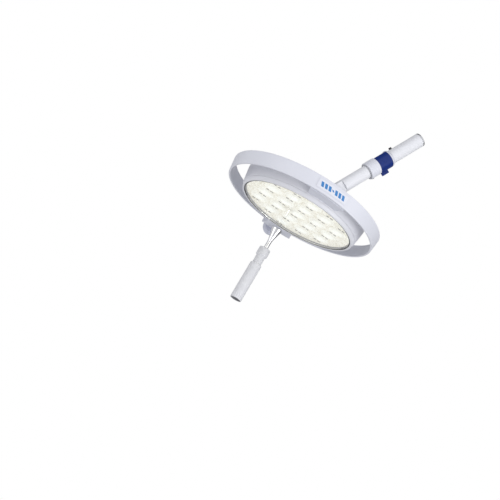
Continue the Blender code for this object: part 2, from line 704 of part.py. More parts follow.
def build_joint(head):
    """The block between ring and head, its hollow axle, washers, nut and screws."""
    inner_low = wall_radius(BLOCK_LOW) + CAST_GAP
    inner_high = wall_radius(BLOCK_HIGH) + CAST_GAP
    outer_low = ring_inner(BLOCK_LOW) - CAST_GAP
    outer_high = ring_inner(BLOCK_HIGH) - CAST_GAP
    outline = [
        (outer_high, BLOCK_HIGH),
        (outer_low, BLOCK_LOW),
        (inner_low, BLOCK_LOW),
        (inner_high, BLOCK_HIGH),
    ]
    block = add_object(
        "joint_block",
        turned(outline, 12, math.pi - BLOCK_ANGLE, math.pi + BLOCK_ANGLE),
        head,
        finish=(PALE, 0.4),
    )
    centre = (-HINGE_RADIUS, 0, HINGE_HEIGHT)
    slope = math.tan(TILT_LIMIT)
    floor = -(KNUCKLE_RADIUS + 2 * GAP)
    edge = (STEM_RADIUS + POCKET_ROOM) / math.cos(TILT_LIMIT)  # pocket's half width at the axle's height
    top = BLOCK_HIGH - HINGE_HEIGHT + CUT_PAST
    floor_half = edge + floor * math.tan(math.pi / 2 - TILT_LIMIT) * 1.35
    half_outline = [(floor_half, floor), (edge, 0), (edge + top * slope, top)]
    pocket = half_outline + [(-y, z) for y, z in reversed(half_outline)]
    reach = TONGUE_HALF + HINGE_WASHER + 2 * GAP
    shape_with(block, "pocket", extruded_x(pocket, -reach, reach), at=centre)
    bore = cylinder(AXLE_RADIUS + GAP, -LEAD_WAY, LEAD_WAY)
    shape_with(block, "axle_bore", bore, at=centre, turn=ALONG_X)
    head_outer = HINGE_RADIUS - ring_inner(HINGE_HEIGHT) + CAST_GAP + 0.4 * MM
    head_inner = head_outer + AXLE_HEAD_THICK
    recess = cylinder(AXLE_HEAD_RADIUS + GAP, head_outer - CUT_PAST, head_inner + GAP)
    shape_with(block, "axle_recess", recess, at=centre, turn=ALONG_X)

    nut_outer = HINGE_RADIUS - (wall_radius(HINGE_HEIGHT + NUT_RADIUS) - WALL_THICK) + NUT_SEAT
    nut_end = nut_outer + NUT_THICK
    axle_end = nut_end + AXLE_PROUD
    add_object(
        "tilt_axle",
        turned(
            [
                (AXLE_HEAD_RADIUS, head_inner),
                (AXLE_RADIUS, head_inner),
                (AXLE_RADIUS, axle_end),
                (AXLE_BORE, axle_end),
                (AXLE_BORE, head_outer),
                (AXLE_HEAD_RADIUS, head_outer),
            ],
            SMALL_SEGMENTS,
        ),
        head,
        at=centre,
        turn=ALONG_X,
        finish=(STEEL, 0.3, 1.0),
    )
    add_nut("axle_nut", head, AXLE_RADIUS, nut_outer, nut_end, centre, ALONG_X)
    for name, side in (("outer_washer", -1), ("inner_washer", 1)):
        near = side * (TONGUE_HALF + GAP)
        far = side * (TONGUE_HALF + GAP + HINGE_WASHER)
        washer = pipe(KNUCKLE_RADIUS - 0.8 * MM, AXLE_RADIUS + GAP, min(near, far), max(near, far))
        add_object(name, washer, head, at=centre, turn=ALONG_X, finish=(DARK, 0.5))

    seat = ring_outer(HINGE_HEIGHT) - SCREW_HEAD_HEIGHT
    head_top = seat + SCREW_HEAD_HEIGHT - GAP
    tip = HINGE_RADIUS + 2 * MM
    for index, angle in enumerate(block_screw_angles(), 1):
        turn = (0, math.pi / 2, angle)
        at = (0, 0, HINGE_HEIGHT)
        hole = cylinder(SCREW_RADIUS + GAP, tip - FUSE, RING_TOP_RADIUS)
        shape_with(block, f"screw_hole_{index}", hole, at=at, turn=turn)
        screw = turned(
            [
                (0, head_top),
                (SCREW_HEAD_RADIUS, head_top),
                (SCREW_HEAD_RADIUS, seat),
                (SCREW_RADIUS, seat),
                (SCREW_RADIUS, tip),
                (0, tip),
            ],
            12,
        )
        add_object(f"ring_screw_{index}", screw, head, at=at, turn=turn, finish=(STEEL, 0.35, 1.0))


def build_label(head):
    """The thin curved plate on the ring's outside that covers the block's screws."""
    middle = RING_LOW + RING_HEIGHT / 2
    low = middle - LABEL_HEIGHT / 2
    high = middle + LABEL_HEIGHT / 2
    outline = [
        (ring_outer(high) + GAP + LABEL_THICK, high),
        (ring_outer(low) + GAP + LABEL_THICK, low),
        (ring_outer(low) + GAP, low),
        (ring_outer(high) + GAP, high),
    ]
    plate = turned(outline, 10, math.pi - LABEL_ANGLE, math.pi + LABEL_ANGLE)
    add_object("label_plate", plate, head, finish=(PALE, 0.3))


def cover_screw_places():
    """(x, y) of the cover screws, in the middle of the cover's thick rim and of one of its facets."""
    radius = WALL_HIGH_RADIUS - COVER_RIM_WIDTH / 2 - 1 * MM
    first = math.pi / 4 + math.pi / RING_SEGMENTS
    angles = [first + 2 * math.pi * index / COVER_SCREW_COUNT for index in range(COVER_SCREW_COUNT)]
    return [(radius * math.cos(a), radius * math.sin(a)) for a in angles]


def build_casing(head):
    """Wall with its inner shelf and screw bosses, back cover, bezel, seal and glass."""
    wall_low = BEZEL_HEIGHT + GAP
    shelf_high = SHELF_LOW + SHELF_THICK
    wall = add_object(
        "head_wall",
        turned(
            [
                (WALL_HIGH_RADIUS, WALL_HIGH),
                (wall_radius(wall_low), wall_low),
                (wall_radius(wall_low) - WALL_THICK, wall_low),
                (wall_radius(SHELF_LOW) - WALL_THICK, SHELF_LOW),
                (SHELF_RADIUS, SHELF_LOW),
                (SHELF_RADIUS, shelf_high),
                (wall_radius(shelf_high) - WALL_THICK, shelf_high),
                (WALL_HIGH_RADIUS - WALL_THICK, WALL_HIGH),
            ],
            RING_SEGMENTS,
        ),
        head,
        finish=(WHITE, 0.4),
    )
    boss_low = WALL_HIGH - BOSS_LENGTH
    screw_tip = WALL_HIGH - COVER_SCREW_DEPTH
    rim_top = COVER_LOW + COVER_SCREW_SEAT
    for index, (x, y) in enumerate(cover_screw_places(), 1):
        boss = cylinder(BOSS_RADIUS, boss_low, WALL_HIGH)
        shape_with(wall, f"boss_{index}", boss, "UNION", at=(x, y, 0))
        thread = cylinder(SCREW_RADIUS + GAP, screw_tip, WALL_HIGH + CUT_PAST)
        shape_with(wall, f"boss_hole_{index}", thread, at=(x, y, 0))
    centre = (-HINGE_RADIUS, 0, HINGE_HEIGHT)
    axle_hole = cylinder(AXLE_RADIUS + GAP, 0, HINGE_RADIUS - SHELF_RADIUS)
    shape_with(wall, "axle_hole", axle_hole, at=centre, turn=ALONG_X)

    shoulder = WALL_HIGH_RADIUS - 1.5 * MM
    outer = [
        (0, COVER_TOP),
        (0.50 * shoulder, COVER_TOP - 0.09 * COVER_RISE),
        (0.80 * shoulder, COVER_TOP - 0.27 * COVER_RISE),
        (0.96 * shoulder, COVER_TOP - 0.50 * COVER_RISE),
        (shoulder, COVER_TOP - 0.74 * COVER_RISE),
        (WALL_HIGH_RADIUS, COVER_LOW),
    ]
    rim_inner = WALL_HIGH_RADIUS - COVER_RIM_WIDTH
    inner = [
        (rim_inner, COVER_LOW),
        (rim_inner - 0.5 * MM, COVER_TOP - 0.50 * COVER_RISE - COVER_THICK),
        (0.78 * shoulder, COVER_TOP - 0.27 * COVER_RISE - COVER_THICK),
        (0.50 * shoulder, COVER_TOP - 0.09 * COVER_RISE - COVER_THICK),
        (0, COVER_TOP - COVER_THICK),
    ]
    cover = add_object("back_cover", turned(outer + inner, RING_SEGMENTS), head, finish=(WHITE, 0.4))
    for index, (x, y) in enumerate(cover_screw_places(), 1):
        hole = cylinder(SCREW_RADIUS + GAP, COVER_LOW - CUT_PAST, COVER_TOP)
        shape_with(cover, f"screw_hole_{index}", hole, at=(x, y, 0))
        recess = cylinder(SCREW_HEAD_RADIUS + GAP, rim_top, COVER_TOP)
        shape_with(cover, f"screw_recess_{index}", recess, at=(x, y, 0))
        seat = rim_top + GAP
        screw = turned(
            [
                (0, seat + SCREW_HEAD_HEIGHT),
                (SCREW_HEAD_RADIUS, seat + SCREW_HEAD_HEIGHT),
                (SCREW_HEAD_RADIUS, seat),
                (SCREW_RADIUS, seat),
                (SCREW_RADIUS, screw_tip + 1 * MM),
                (0, screw_tip + 1 * MM),
            ],
            12,
        )
        add_object(f"cover_screw_{index}", screw, head, at=(x, y, 0), finish=(STEEL, 0.35, 1.0))

    bezel_back = wall_radius(BEZEL_HEIGHT) - 0.4 * MM
    add_object(
        "bezel",
        turned(
            [
                (bezel_back, BEZEL_HEIGHT),
                (BEZEL_FRONT_RADIUS, 1 * MM),
                (BEZEL_FRONT_RADIUS - 1 * MM, 0),
                (FACE_RADIUS, 0),
                (FACE_RADIUS, BEZEL_HEIGHT),
            ],
            RING_SEGMENTS,
        ),
        head,
        finish=(WHITE, 0.3),
    )
    seal = pipe(SEAL_OUTER, SEAL_OUTER - SEAL_WIDTH, 0.4 * MM, GLASS_BACK + 0.6 * MM, RING_SEGMENTS)
    add_object("face_seal", seal, head, finish=(RUBBER, 0.6))
    glass = cylinder(GLASS_RADIUS, GLASS_FRONT, GLASS_BACK, RING_SEGMENTS)
    add_object("cover_glass", glass, head, finish=(CLEAR, 0.05))


def lens_places():
    """(x, y) of the lenses: a hexagon pattern of one, six and twelve."""
    row_step = LENS_PITCH * math.sqrt(3) / 2
    places = []
    for row in range(-2, 3):
        in_row = 5 - abs(row)
        for index in range(in_row):
            places.append(((index - (in_row - 1) / 2) * LENS_PITCH, row * row_step))
    return places


def build_light(head):
    """Lens plate, light board, finned heat sink and driver board, stacked behind the glass."""
    plate_front = LENS_BACK - LENS_PLATE_THICK
    plate = add_object(
        "lens_plate",
        cylinder(LENS_PLATE_RADIUS, plate_front, LENS_BACK, RING_SEGMENTS),
        head,
        finish=(LENS, 0.1),
    )
    domes = []
    dome_front = plate_front - LENS_DEPTH
    for x, y in lens_places():
        dome = turned(
            [
                (0, plate_front + 0.5 * MM),
                (LENS_RADIUS, plate_front + 0.5 * MM),
                (LENS_RADIUS * 0.75, dome_front + 0.35 * LENS_DEPTH),
                (0, dome_front),
            ],
            12,
        )
        bmesh.ops.translate(dome, vec=(x, y, 0), verts=dome.verts)
        domes.append(dome)
    shape_with(plate, "lenses", join_forms(*domes), "UNION")

    board_low = LENS_BACK + GAP
    board = cylinder(SHELF_RADIUS - 1 * MM, board_low, board_low + LED_BOARD_THICK, RING_SEGMENTS)
    add_object("led_board", board, head, finish=(GREEN, 0.4))

    pitch = 2 * (SINK_RADIUS - FIN_EDGE) / (FIN_COUNT + 1)
    base_top = SINK_LOW + SINK_BASE
    edge = SINK_RADIUS + CUT_PAST
    outline = [(edge, SINK_LOW), (edge, base_top)]
    for index in range(FIN_COUNT):
        middle = pitch * ((FIN_COUNT - 1) / 2 - index)
        outline += [(middle + FIN_THICK / 2, base_top), (middle + FIN_THICK / 2, FIN_TOP)]
        outline += [(middle - FIN_THICK / 2, FIN_TOP), (middle - FIN_THICK / 2, base_top)]
    outline += [(-edge, base_top), (-edge, SINK_LOW)]
    finned = extruded_x(outline, -edge, edge)
    sink = add_object("heat_sink", finned, head, finish=(ALUMINIUM, 0.4, 1.0))
    fin_radius = SINK_RADIUS - FIN_EDGE
    trim = turned(
        [
            (0, FIN_TOP + CUT_PAST),
            (fin_radius, FIN_TOP + CUT_PAST),
            (fin_radius, base_top),
            (SINK_RADIUS, base_top),
            (SINK_RADIUS, SINK_LOW - CUT_PAST),
            (0, SINK_LOW - CUT_PAST),
        ],
        RING_SEGMENTS,
    )
    shape_with(sink, "trim", trim, "INTERSECT")
    pad_low = board_low + LED_BOARD_THICK + GAP
    pad = cylinder(SHELF_RADIUS - PAD_INSET, pad_low, SINK_LOW + FUSE, RING_SEGMENTS)
    shape_with(sink, "pad", pad, "UNION")

    foot = 3.5 * MM
    board_z = FIN_TOP + foot
    half_x = BOARD_LENGTH / 2
    half_y = BOARD_WIDTH / 2
    circuit = box((-half_x, -half_y, board_z), (half_x, half_y, board_z + BOARD_THICK))
    driver = add_object("driver_board", circuit, head, finish=(GREEN, 0.4))
    top = board_z + BOARD_THICK - 0.5 * MM
    parts = [
        box((-half_x + 1 * MM, -9 * MM, top), (-half_x + 12 * MM, 9 * MM, top + 7 * MM)),
        box((-12 * MM, -14 * MM, top), (16 * MM, 14 * MM, top + 10 * MM)),
    ]
    for x, y in ((32, 18), (32, -18)):
        can = cylinder(6 * MM, top, top + 9 * MM, 16)
        bmesh.ops.translate(can, vec=(x * MM, y * MM, 0), verts=can.verts)
        parts.append(can)
    for side_x in (-1, 1):
        for side_y in (-1, 1):
            leg = cylinder(3 * MM, FIN_TOP + GAP, board_z + 0.5 * MM, 10)
            corner = (side_x * (half_x - 5 * MM), side_y * (half_y - 5 * MM), 0)
            bmesh.ops.translate(leg, vec=corner, verts=leg.verts)
            parts.append(leg)
    shape_with(driver, "parts", join_forms(*parts), "UNION")
    build_head_lead(head, -half_x + 1 * MM - GAP, top + 3.5 * MM)


def build_head_lead(head, board_x, board_z):
    """The lead inside the head, from the hollow axle's end up and over the fins to the driver board."""
    radius = 1.6 * MM
    nut_face = wall_radius(HINGE_HEIGHT + NUT_RADIUS) - WALL_THICK - NUT_SEAT - NUT_THICK - AXLE_PROUD
    start_x = -(nut_face - GAP)
    fin_radius = SINK_RADIUS - FIN_EDGE
    rise_x = -(fin_radius + 4 * MM)
    spline_points = [
        (start_x, HINGE_HEIGHT),
        (start_x + 2.5 * MM, HINGE_HEIGHT),
        (rise_x - 1 * MM, HINGE_HEIGHT + 3 * MM),
        (rise_x, FIN_TOP - 3 * MM),
        (rise_x + 6 * MM, board_z),
        (board_x - 20 * MM, board_z),
        (board_x, board_z),
    ]
    curve = bpy.data.curves.new("head_lead", "CURVE")
    curve.dimensions = "3D"
    curve.bevel_depth = radius
    curve.bevel_resolution = 2
    curve.use_fill_caps = True
    spline = curve.splines.new("POLY")
    path = smooth_path([Vector((x, 0, z)) for x, z in spline_points], 4)
    spline.points.add(len(path) - 1)
    for point, place in zip(spline.points, path):
        point.co = (*place, 1.0)
    curve.materials.append(make_material("head_lead", RUBBER, 0.6))
    lead = bpy.data.objects.new("head_lead", curve)
    lead.parent = head
    bpy.context.scene.collection.objects.link(lead)


def smooth_path(points, steps):
    """Points along the smooth curve through the given points, by the Catmull-Rom formula."""
    padded = [2 * points[0] - points[1], *points, 2 * points[-1] - points[-2]]
    path = []
    for before, start, end, after in zip(padded, padded[1:], padded[2:], padded[3:]):
        for index in range(steps):
            t = index / steps
            place = 2 * start + (end - before) * t
            place += (2 * before - 5 * start + 4 * end - after) * t**2
            place += (3 * start - before - 3 * end + after) * t**3
            path.append(place / 2)
    path.append(points[-1])
    return path


def build_handle(side):
    """Bracket on the far side, polished neck with nut and latch ring."""
    step_z = RING_LOW - GAP
    inner_x = wall_radius(BEZEL_HEIGHT) + CAST_GAP
    outline = [
        (ring_inner(BRACKET_HIGH) - CAST_GAP, BRACKET_HIGH),
        (ring_inner(RING_LOW) - CAST_GAP, step_z),
        (RING_LOW_RADIUS, step_z),
        (RING_LOW_RADIUS, BRACKET_LOW + 3 * MM),
        (RING_LOW_RADIUS - 3 * MM, BRACKET_LOW),
        (inner_x, BRACKET_LOW),
        (inner_x, BEZEL_HEIGHT),
        (wall_radius(BRACKET_HIGH) + CAST_GAP, BRACKET_HIGH),
    ]
    bracket = add_object(
        "handle_bracket", turned(outline, 12, -BRACKET_ANGLE, BRACKET_ANGLE), side, finish=(PALE, 0.4)
    )
    link_x = POD_BACK - GAP
    link_low = (HINGE_RADIUS, POD_SIDE - POD_LINK_HALF, BRACKET_LOW + 2.5 * MM)
    link_high = (link_x, POD_SIDE + POD_LINK_HALF, step_z - 0.5 * MM)
    link = box(link_low, link_high)
    shape_with(bracket, "pod_link", link, "UNION")
    floor_top = BRACKET_LOW + BRACKET_FLOOR
    nut_room = NUT_RADIUS + NUT_WELL_ROOM
    well = cylinder(nut_room, floor_top, BRACKET_HIGH + CUT_PAST, TUBE_SEGMENTS)
    shape_with(bracket, "nut_well", well, at=(HINGE_RADIUS, 0, 0))
    bore = cylinder(STUD_RADIUS + GAP, BRACKET_LOW - CUT_PAST, floor_top + CUT_PAST)
    shape_with(bracket, "stud_bore", bore, at=(HINGE_RADIUS, 0, 0))

    neck_top = BRACKET_LOW - GAP
    flare_steps = 5
    flare = []
    for index in range(flare_steps + 1):
        share = index / flare_steps
        radius = SHAFT_RADIUS + (NECK_RADIUS - SHAFT_RADIUS) * (1 - share) ** NECK_FLARE_CURVE
        flare.append((radius, neck_top - 1 * MM - share * NECK_FLARE_LENGTH))
    shaft_end = GRIP_TOP - SHAFT_IN_GRIP
    groove = GRIP_TOP - LATCH_DEPTH
    groove_floor = SHAFT_RADIUS - 0.9 * MM
    groove_half = LATCH_WIDTH / 2 + GAP
    stud_top = floor_top + NUT_THICK + 4 * MM
    add_object(
        "handle_neck",
        turned(
            [
                (0, stud_top),
                (STUD_RADIUS - 0.5 * MM, stud_top),
                (STUD_RADIUS, stud_top - 0.5 * MM),
                (STUD_RADIUS, neck_top),
                (NECK_RADIUS, neck_top),
                *flare,
                (SHAFT_RADIUS, groove + groove_half),
                (groove_floor, groove + groove_half),
                (groove_floor, groove - groove_half),
                (SHAFT_RADIUS, groove - groove_half),
                (SHAFT_RADIUS, shaft_end + 1 * MM),
                (SHAFT_RADIUS - 1 * MM, shaft_end),
                (0, shaft_end),
            ],
            SMALL_SEGMENTS,
        ),
        side,
        at=(HINGE_RADIUS, 0, 0),
        finish=(CHROME, 0.08, 1.0),
    )
    nut_low = floor_top + GAP
    add_nut("neck_nut", side, STUD_RADIUS, nut_low, nut_low + NUT_THICK, (HINGE_RADIUS, 0, 0), (0, 0, 0))
    ring_half = LATCH_WIDTH / 2
    ring = pipe(SHAFT_RADIUS + 0.1 * MM, groove_floor + 0.2 * MM, groove - ring_half, groove + ring_half)
    add_object("latch_ring", ring, side, at=(HINGE_RADIUS, 0, 0), finish=(RUBBER, 0.6))


def build_grip(side):
    """The pull-off grip: moulded sleeve, liner and end cap, sliding along the neck's shaft."""
    axis = add_empty("grip_axis", (HINGE_RADIUS, 0, 0), parent=side)
    bore = SHAFT_RADIUS + RUN_GAP
    liner_outer = bore + LINER_WALL
    sleeve_bore = liner_outer + GAP
    collar_low = GRIP_TOP - COLLAR_LENGTH
    waist_low = collar_low - GRIP_WAIST_LENGTH
    cap_seat = GRIP_LOW + END_CAP_THICK + GAP
    cap_radius = GRIP_RADIUS - 1.6 * MM
    ease = 1.0 * MM
    add_object(
        "grip_sleeve",
        turned(
            [
                (sleeve_bore, GRIP_TOP),
                (COLLAR_RADIUS - ease, GRIP_TOP),
                (COLLAR_RADIUS, GRIP_TOP - ease),
                (COLLAR_RADIUS, collar_low + ease),
                (GRIP_WAIST_RADIUS, collar_low),
                (GRIP_WAIST_RADIUS, waist_low),
                (GRIP_RADIUS, waist_low - 1.5 * ease),
                (GRIP_RADIUS, GRIP_LOW + ease),
                (GRIP_RADIUS - ease * 0.6, GRIP_LOW),
                (cap_radius + GAP, GRIP_LOW),
                (cap_radius + GAP, cap_seat),
                (sleeve_bore, cap_seat),
            ],
            TUBE_SEGMENTS,
        ),
        axis,
        finish=(WHITE, 0.45),
    )
    liner_top = GRIP_TOP - 1 * MM
    liner = pipe(liner_outer, bore, liner_top - LINER_LENGTH, liner_top)
    add_object("grip_liner", liner, axis, finish=(PALE, 0.5))
    cap = cylinder(cap_radius, GRIP_LOW + 0.4 * MM, GRIP_LOW + END_CAP_THICK, TUBE_SEGMENTS)
    add_object("grip_end_cap", cap, axis, finish=(DARK, 0.5))


def build_pod(side):
    """The round control housing outside the ring, with its encoder, face plate, dial and dial shaft."""
    centre = (0, POD_SIDE, POD_HEIGHT)
    front = POD_BACK + POD_DEPTH
    floor = POD_BACK + 3 * MM
    pod = add_object(
        "control_pod",
        turned(
            [
                (0, floor),
                (POD_RADIUS - POD_WALL, floor),
                (POD_RADIUS - POD_WALL, front),
                (POD_RADIUS, front),
                (POD_RADIUS, POD_BACK + 3 * MM),
                (POD_RADIUS - 1.2 * MM, POD_BACK + 1 * MM),
                (POD_RADIUS - 3.5 * MM, POD_BACK),
                (0, POD_BACK),
            ],
            TUBE_SEGMENTS,
        ),
        side,
        at=centre,
        turn=ALONG_X,
        finish=(PALE, 0.4),
    )
    plate_back = front - 2.6 * MM
    shaft_bore = DIAL_SHAFT_RADIUS + RUN_GAP
    plate = pipe(POD_RADIUS - POD_WALL - GAP, shaft_bore, plate_back, front - 0.4 * MM, TUBE_SEGMENTS)
    add_object("pod_plate", plate, side, at=centre, turn=ALONG_X, finish=(WHITE, 0.4))
    encoder = cylinder(ENCODER_RADIUS, floor + GAP, plate_back - GAP, SMALL_SEGMENTS)
    add_object("dial_encoder", encoder, side, at=centre, turn=ALONG_X, finish=(STEEL, 0.4, 1.0))

    axis = add_empty("dial_axis", centre, ALONG_X, side)
    knob_back = front + GAP
    knob_front = knob_back + KNOB_DEPTH
    bore_end = knob_front - 2.5 * MM
    knob = add_object(
        "dimmer_knob",
        turned(
            [
                (0, bore_end),
                (shaft_bore, bore_end),
                (shaft_bore, knob_back),
                (KNOB_RADIUS, knob_back),
                (KNOB_RADIUS - 0.8 * MM, knob_front - 1.2 * MM),
                (KNOB_RADIUS - 2.2 * MM, knob_front),
                (0, knob_front),
            ],
            TUBE_SEGMENTS,
        ),
        axis,
        finish=(WHITE, 0.4),
    )
    mark = box((5 * MM, -0.7 * MM, knob_front - 0.8 * MM), (11 * MM, 0.7 * MM, knob_front + 1 * MM))
    shape_with(knob, "pointer_groove", mark)
    shaft = cylinder(DIAL_SHAFT_RADIUS, plate_back, bore_end - GAP, SMALL_SEGMENTS)
    add_object("dial_shaft", shaft, axis, finish=(STEEL, 0.3, 1.0))


def build_head(base):
    """The lamp head, tilted at rest about the axis through its joint block."""
    tilt_axis = add_empty("tilt_axis", turn=(-TILT_REST, 0, 0), parent=base)
    head = add_empty("lamp_centre", (HINGE_RADIUS, 0, -HINGE_HEIGHT), parent=tilt_axis)
    build_ring(head)
    build_joint(head)
    build_label(head)
    build_casing(head)
    build_light(head)
    side = add_empty("handle_side", turn=(0, 0, HANDLE_TURN), parent=head)
    build_handle(side)
    build_grip(side)
    build_pod(side)


def main():
    clear_scene()
    base = build_arm()
    build_clip(base)
    build_brake_screw(base)
    build_stem(base)
    build_head(base)


main()
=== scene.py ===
"""Looks of a dental operating light: ring-shaped lamp head, swivel stem, snap clip and grip."""

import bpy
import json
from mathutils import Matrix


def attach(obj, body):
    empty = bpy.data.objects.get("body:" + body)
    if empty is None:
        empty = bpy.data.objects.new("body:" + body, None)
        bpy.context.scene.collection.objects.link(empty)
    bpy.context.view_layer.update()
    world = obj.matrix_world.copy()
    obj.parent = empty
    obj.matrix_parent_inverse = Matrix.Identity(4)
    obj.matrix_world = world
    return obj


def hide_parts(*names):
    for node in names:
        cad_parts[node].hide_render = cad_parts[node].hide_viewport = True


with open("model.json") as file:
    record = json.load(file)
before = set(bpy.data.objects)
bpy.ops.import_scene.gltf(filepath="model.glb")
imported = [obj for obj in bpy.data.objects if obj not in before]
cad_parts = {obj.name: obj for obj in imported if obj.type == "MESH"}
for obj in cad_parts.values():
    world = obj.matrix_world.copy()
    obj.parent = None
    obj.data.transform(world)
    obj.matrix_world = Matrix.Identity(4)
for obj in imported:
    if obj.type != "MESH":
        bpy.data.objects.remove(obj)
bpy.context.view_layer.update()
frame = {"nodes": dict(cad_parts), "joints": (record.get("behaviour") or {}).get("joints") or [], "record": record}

import json
import logging
import math
from dataclasses import dataclass, field
from enum import Enum
from typing import Callable, Optional, Sequence

import bmesh
import bpy
import numpy as np
from mathutils import Matrix, Vector

MM = 0.001
CREASE = 35.0  # Degrees from which an edge stays sharp.
LOG = logging.getLogger("operating_light")
Grid = np.ndarray
Piece = bpy.types.Object
Tree, Node, Socket = bpy.types.NodeTree, bpy.types.Node, bpy.types.NodeSocket
Pair = tuple[float, float]
Triple = tuple[float, float, float]
Colour = tuple[float, float, float, float]
Outline, Profile = Sequence[Pair], Sequence[Triple]


# ---- places


def shift(x: float, y: float, z: float) -> Grid:
    """Returns the 4 x 4 matrix that moves a point by (x, y, z) millimetres."""
    matrix = np.eye(4)
    matrix[:3, 3] = (x, y, z)
    return matrix


def turn(axis: str, degrees: float) -> Grid:
    """Returns the 4 x 4 matrix of a right-hand turn about the X, Y or Z axis."""
    return np.array(Matrix.Rotation(math.radians(degrees), 4, axis))


@dataclass(frozen=True)
class Layout:
    """Where the light's own frames lie in the frame of the object, in millimetres and degrees.

    reach is the tilt axis's distance below the top of the arm, hinge_height its distance behind
    the front face, and handle_turn the handle side's turn from the point opposite the stem.
    """

    reach: float
    hinge_radius: float = 151.865
    hinge_height: float = 22.0
    tilt_rest: float = 26.8
    handle_turn: float = -3.8

    @property
    def stem(self) -> Grid:
        """The frame on the stem's axis whose height counts up from the tilt axis."""
        return shift(0, 0, -self.reach)

    @property
    def lamp(self) -> Grid:
        """The frame of the lamp head: z runs backwards from the centre of the front face."""
        to_centre = shift(self.hinge_radius, 0, -self.hinge_height)
        return self.stem @ turn("X", -self.tilt_rest) @ to_centre

    @property
    def handle_side(self) -> Grid:
        """The lamp frame turned so that its x axis runs through the handle."""
        return self.lamp @ turn("Z", self.handle_turn)

    @property
    def handle(self) -> Grid:
        """The frame on the axis of the chrome neck and the grip."""
        return self.handle_side @ shift(self.hinge_radius, 0, 0)

    @property
    def dial(self) -> Grid:
        """The frame on the dimmer's axis, whose height counts outwards."""
        return self.handle_side @ shift(0, 9, 8) @ turn("Y", 90)


# ---- surfaces


@dataclass
class Surface:
    """A mesh worked out as arrays: points in millimetres, and faces as rows of point numbers."""

    points: Grid
    faces: list[tuple[int, ...]]

    def placed(self, matrix: Grid) -> "Surface":
        """Returns the same surface moved by a 4 x 4 matrix."""
        return Surface(self.points @ matrix[:3, :3].T + matrix[:3, 3], self.faces)

    @staticmethod
    def joined(parts: Sequence["Surface"]) -> "Surface":
        """Returns surfaces as one mesh of several closed bodies."""
        starts = np.cumsum([0] + [len(part.points) for part in parts[:-1]]).tolist()
        faces = [
            tuple(index + start for index in face)
            for start, part in zip(starts, parts)
            for face in part.faces
        ]
        return Surface(np.concatenate([part.points for part in parts]), faces)


def rounded(profile: Profile, steps: int = 5) -> Grid:
    """Rounds the corners of a closed outline.

    Each corner with a radius becomes a quadratic curve from one edge to the next, which starts
    and ends at that distance from the corner: (1 - t)^2 * start + 2 t (1 - t) * corner + t^2 * end.
    A further point just outside each end keeps the shading of the flat faces flat.

    Args:
        profile: (radius, height, rounding) of each corner, in order.
        steps: Number of pieces in each rounding.

    Returns:
        An array of (radius, height) points.
    """
    support, most, most_with_support = 0.15, 0.47, 0.49
    corners = np.array([(r, z) for r, z, _ in profile], float)
    before, after = np.roll(corners, 1, axis=0), np.roll(corners, -1, axis=0)
    share = np.linspace(0, 1, steps + 1)[:, None]
    pieces = []
    for corner, low, high, (_, _, size) in zip(corners, before, after, profile):
        if size <= 0:
            pieces.append(corner[None])
            continue
        ends = []
        for way in (low - corner, high - corner):
            reach = np.linalg.norm(way)
            ends.append(corner + way * min(size / reach, most))
            ends.append(corner + way * min((size + support) / reach, most_with_support))
        start, first, end, last = ends
        curve = (1 - share) ** 2 * start + 2 * share * (1 - share) * corner + share**2 * end
        pieces.append(np.concatenate([first[None], curve, last[None]]))
    return np.concatenate(pieces)


def quads_of(number: Grid) -> Grid:
    """Returns the quads between neighbours in a grid of point numbers, as rows of four."""
    corners = [number[:-1, :-1], number[1:, :-1], number[1:, 1:], number[:-1, 1:]]
    return np.stack(corners, axis=-1).reshape(-1, 4)


def pole_fans(around: Grid, first: int, last: int) -> list[tuple[int, ...]]:
    """Returns the triangles that close the first and the last row at their poles."""
    fans = [(first, a, b) for a, b in zip(around[0, :-1].tolist(), around[0, 1:].tolist())]
    return fans + [(last, b, a) for a, b in zip(around[-1, :-1].tolist(), around[-1, 1:].tolist())]


def revolved(
    outline: Grid,
    segments: int = 96,
    span: Optional[Pair] = None,
    swell: Optional[Callable[[Grid, Grid, Grid], Grid]] = None,
) -> Surface:
    """Carries an outline about the Z axis: x = r cos a, y = r sin a, with z as in the outline.

    An outline that starts and ends on the axis makes a solid piece with closed poles. Any other
    outline closes on itself and makes a ring. With a span the ring is a sector with flat ends.

    Args:
        outline: (radius, height) points, down the outer side first.
        segments: Number of steps in the turn.
        span: First and last angle in degrees, or None for a full turn.
        swell: Function of (radius, height, angle) grids that returns a changed radius grid.

    Returns:
        The surface, with its faces outwards.
    """
    solid = outline[0, 0] == 0 and outline[-1, 0] == 0
    full = span is None
    low, high = (0.0, 360.0) if full else span
    count = segments if full else segments + 1
    angle = np.radians(np.linspace(low, high, segments + 1)[:count])
    rings = outline[1:-1] if solid else outline
    radius, turned_by = np.meshgrid(rings[:, 0], angle, indexing="ij")
    height = np.repeat(rings[:, 1:2], count, axis=1)
    if swell is not None:
        radius = swell(radius, height, turned_by)
    points = np.stack([radius * np.cos(turned_by), radius * np.sin(turned_by), height], axis=-1)
    number = np.arange(len(rings) * count).reshape(len(rings), count)
    around = np.concatenate([number, number[:, :1]], axis=1) if full else number
    down = around if solid else np.concatenate([around, around[:1]], axis=0)
    faces = [tuple(face) for face in quads_of(down).tolist()]
    flat = points.reshape(-1, 3)
    if solid:
        faces += pole_fans(around, len(flat), len(flat) + 1)
        flat = np.concatenate([flat, [[0, 0, outline[0, 1]], [0, 0, outline[-1, 1]]]])
    elif not full:
        faces += [tuple(number[::-1, 0].tolist()), tuple(number[:, -1].tolist())]
    return Surface(flat, faces)


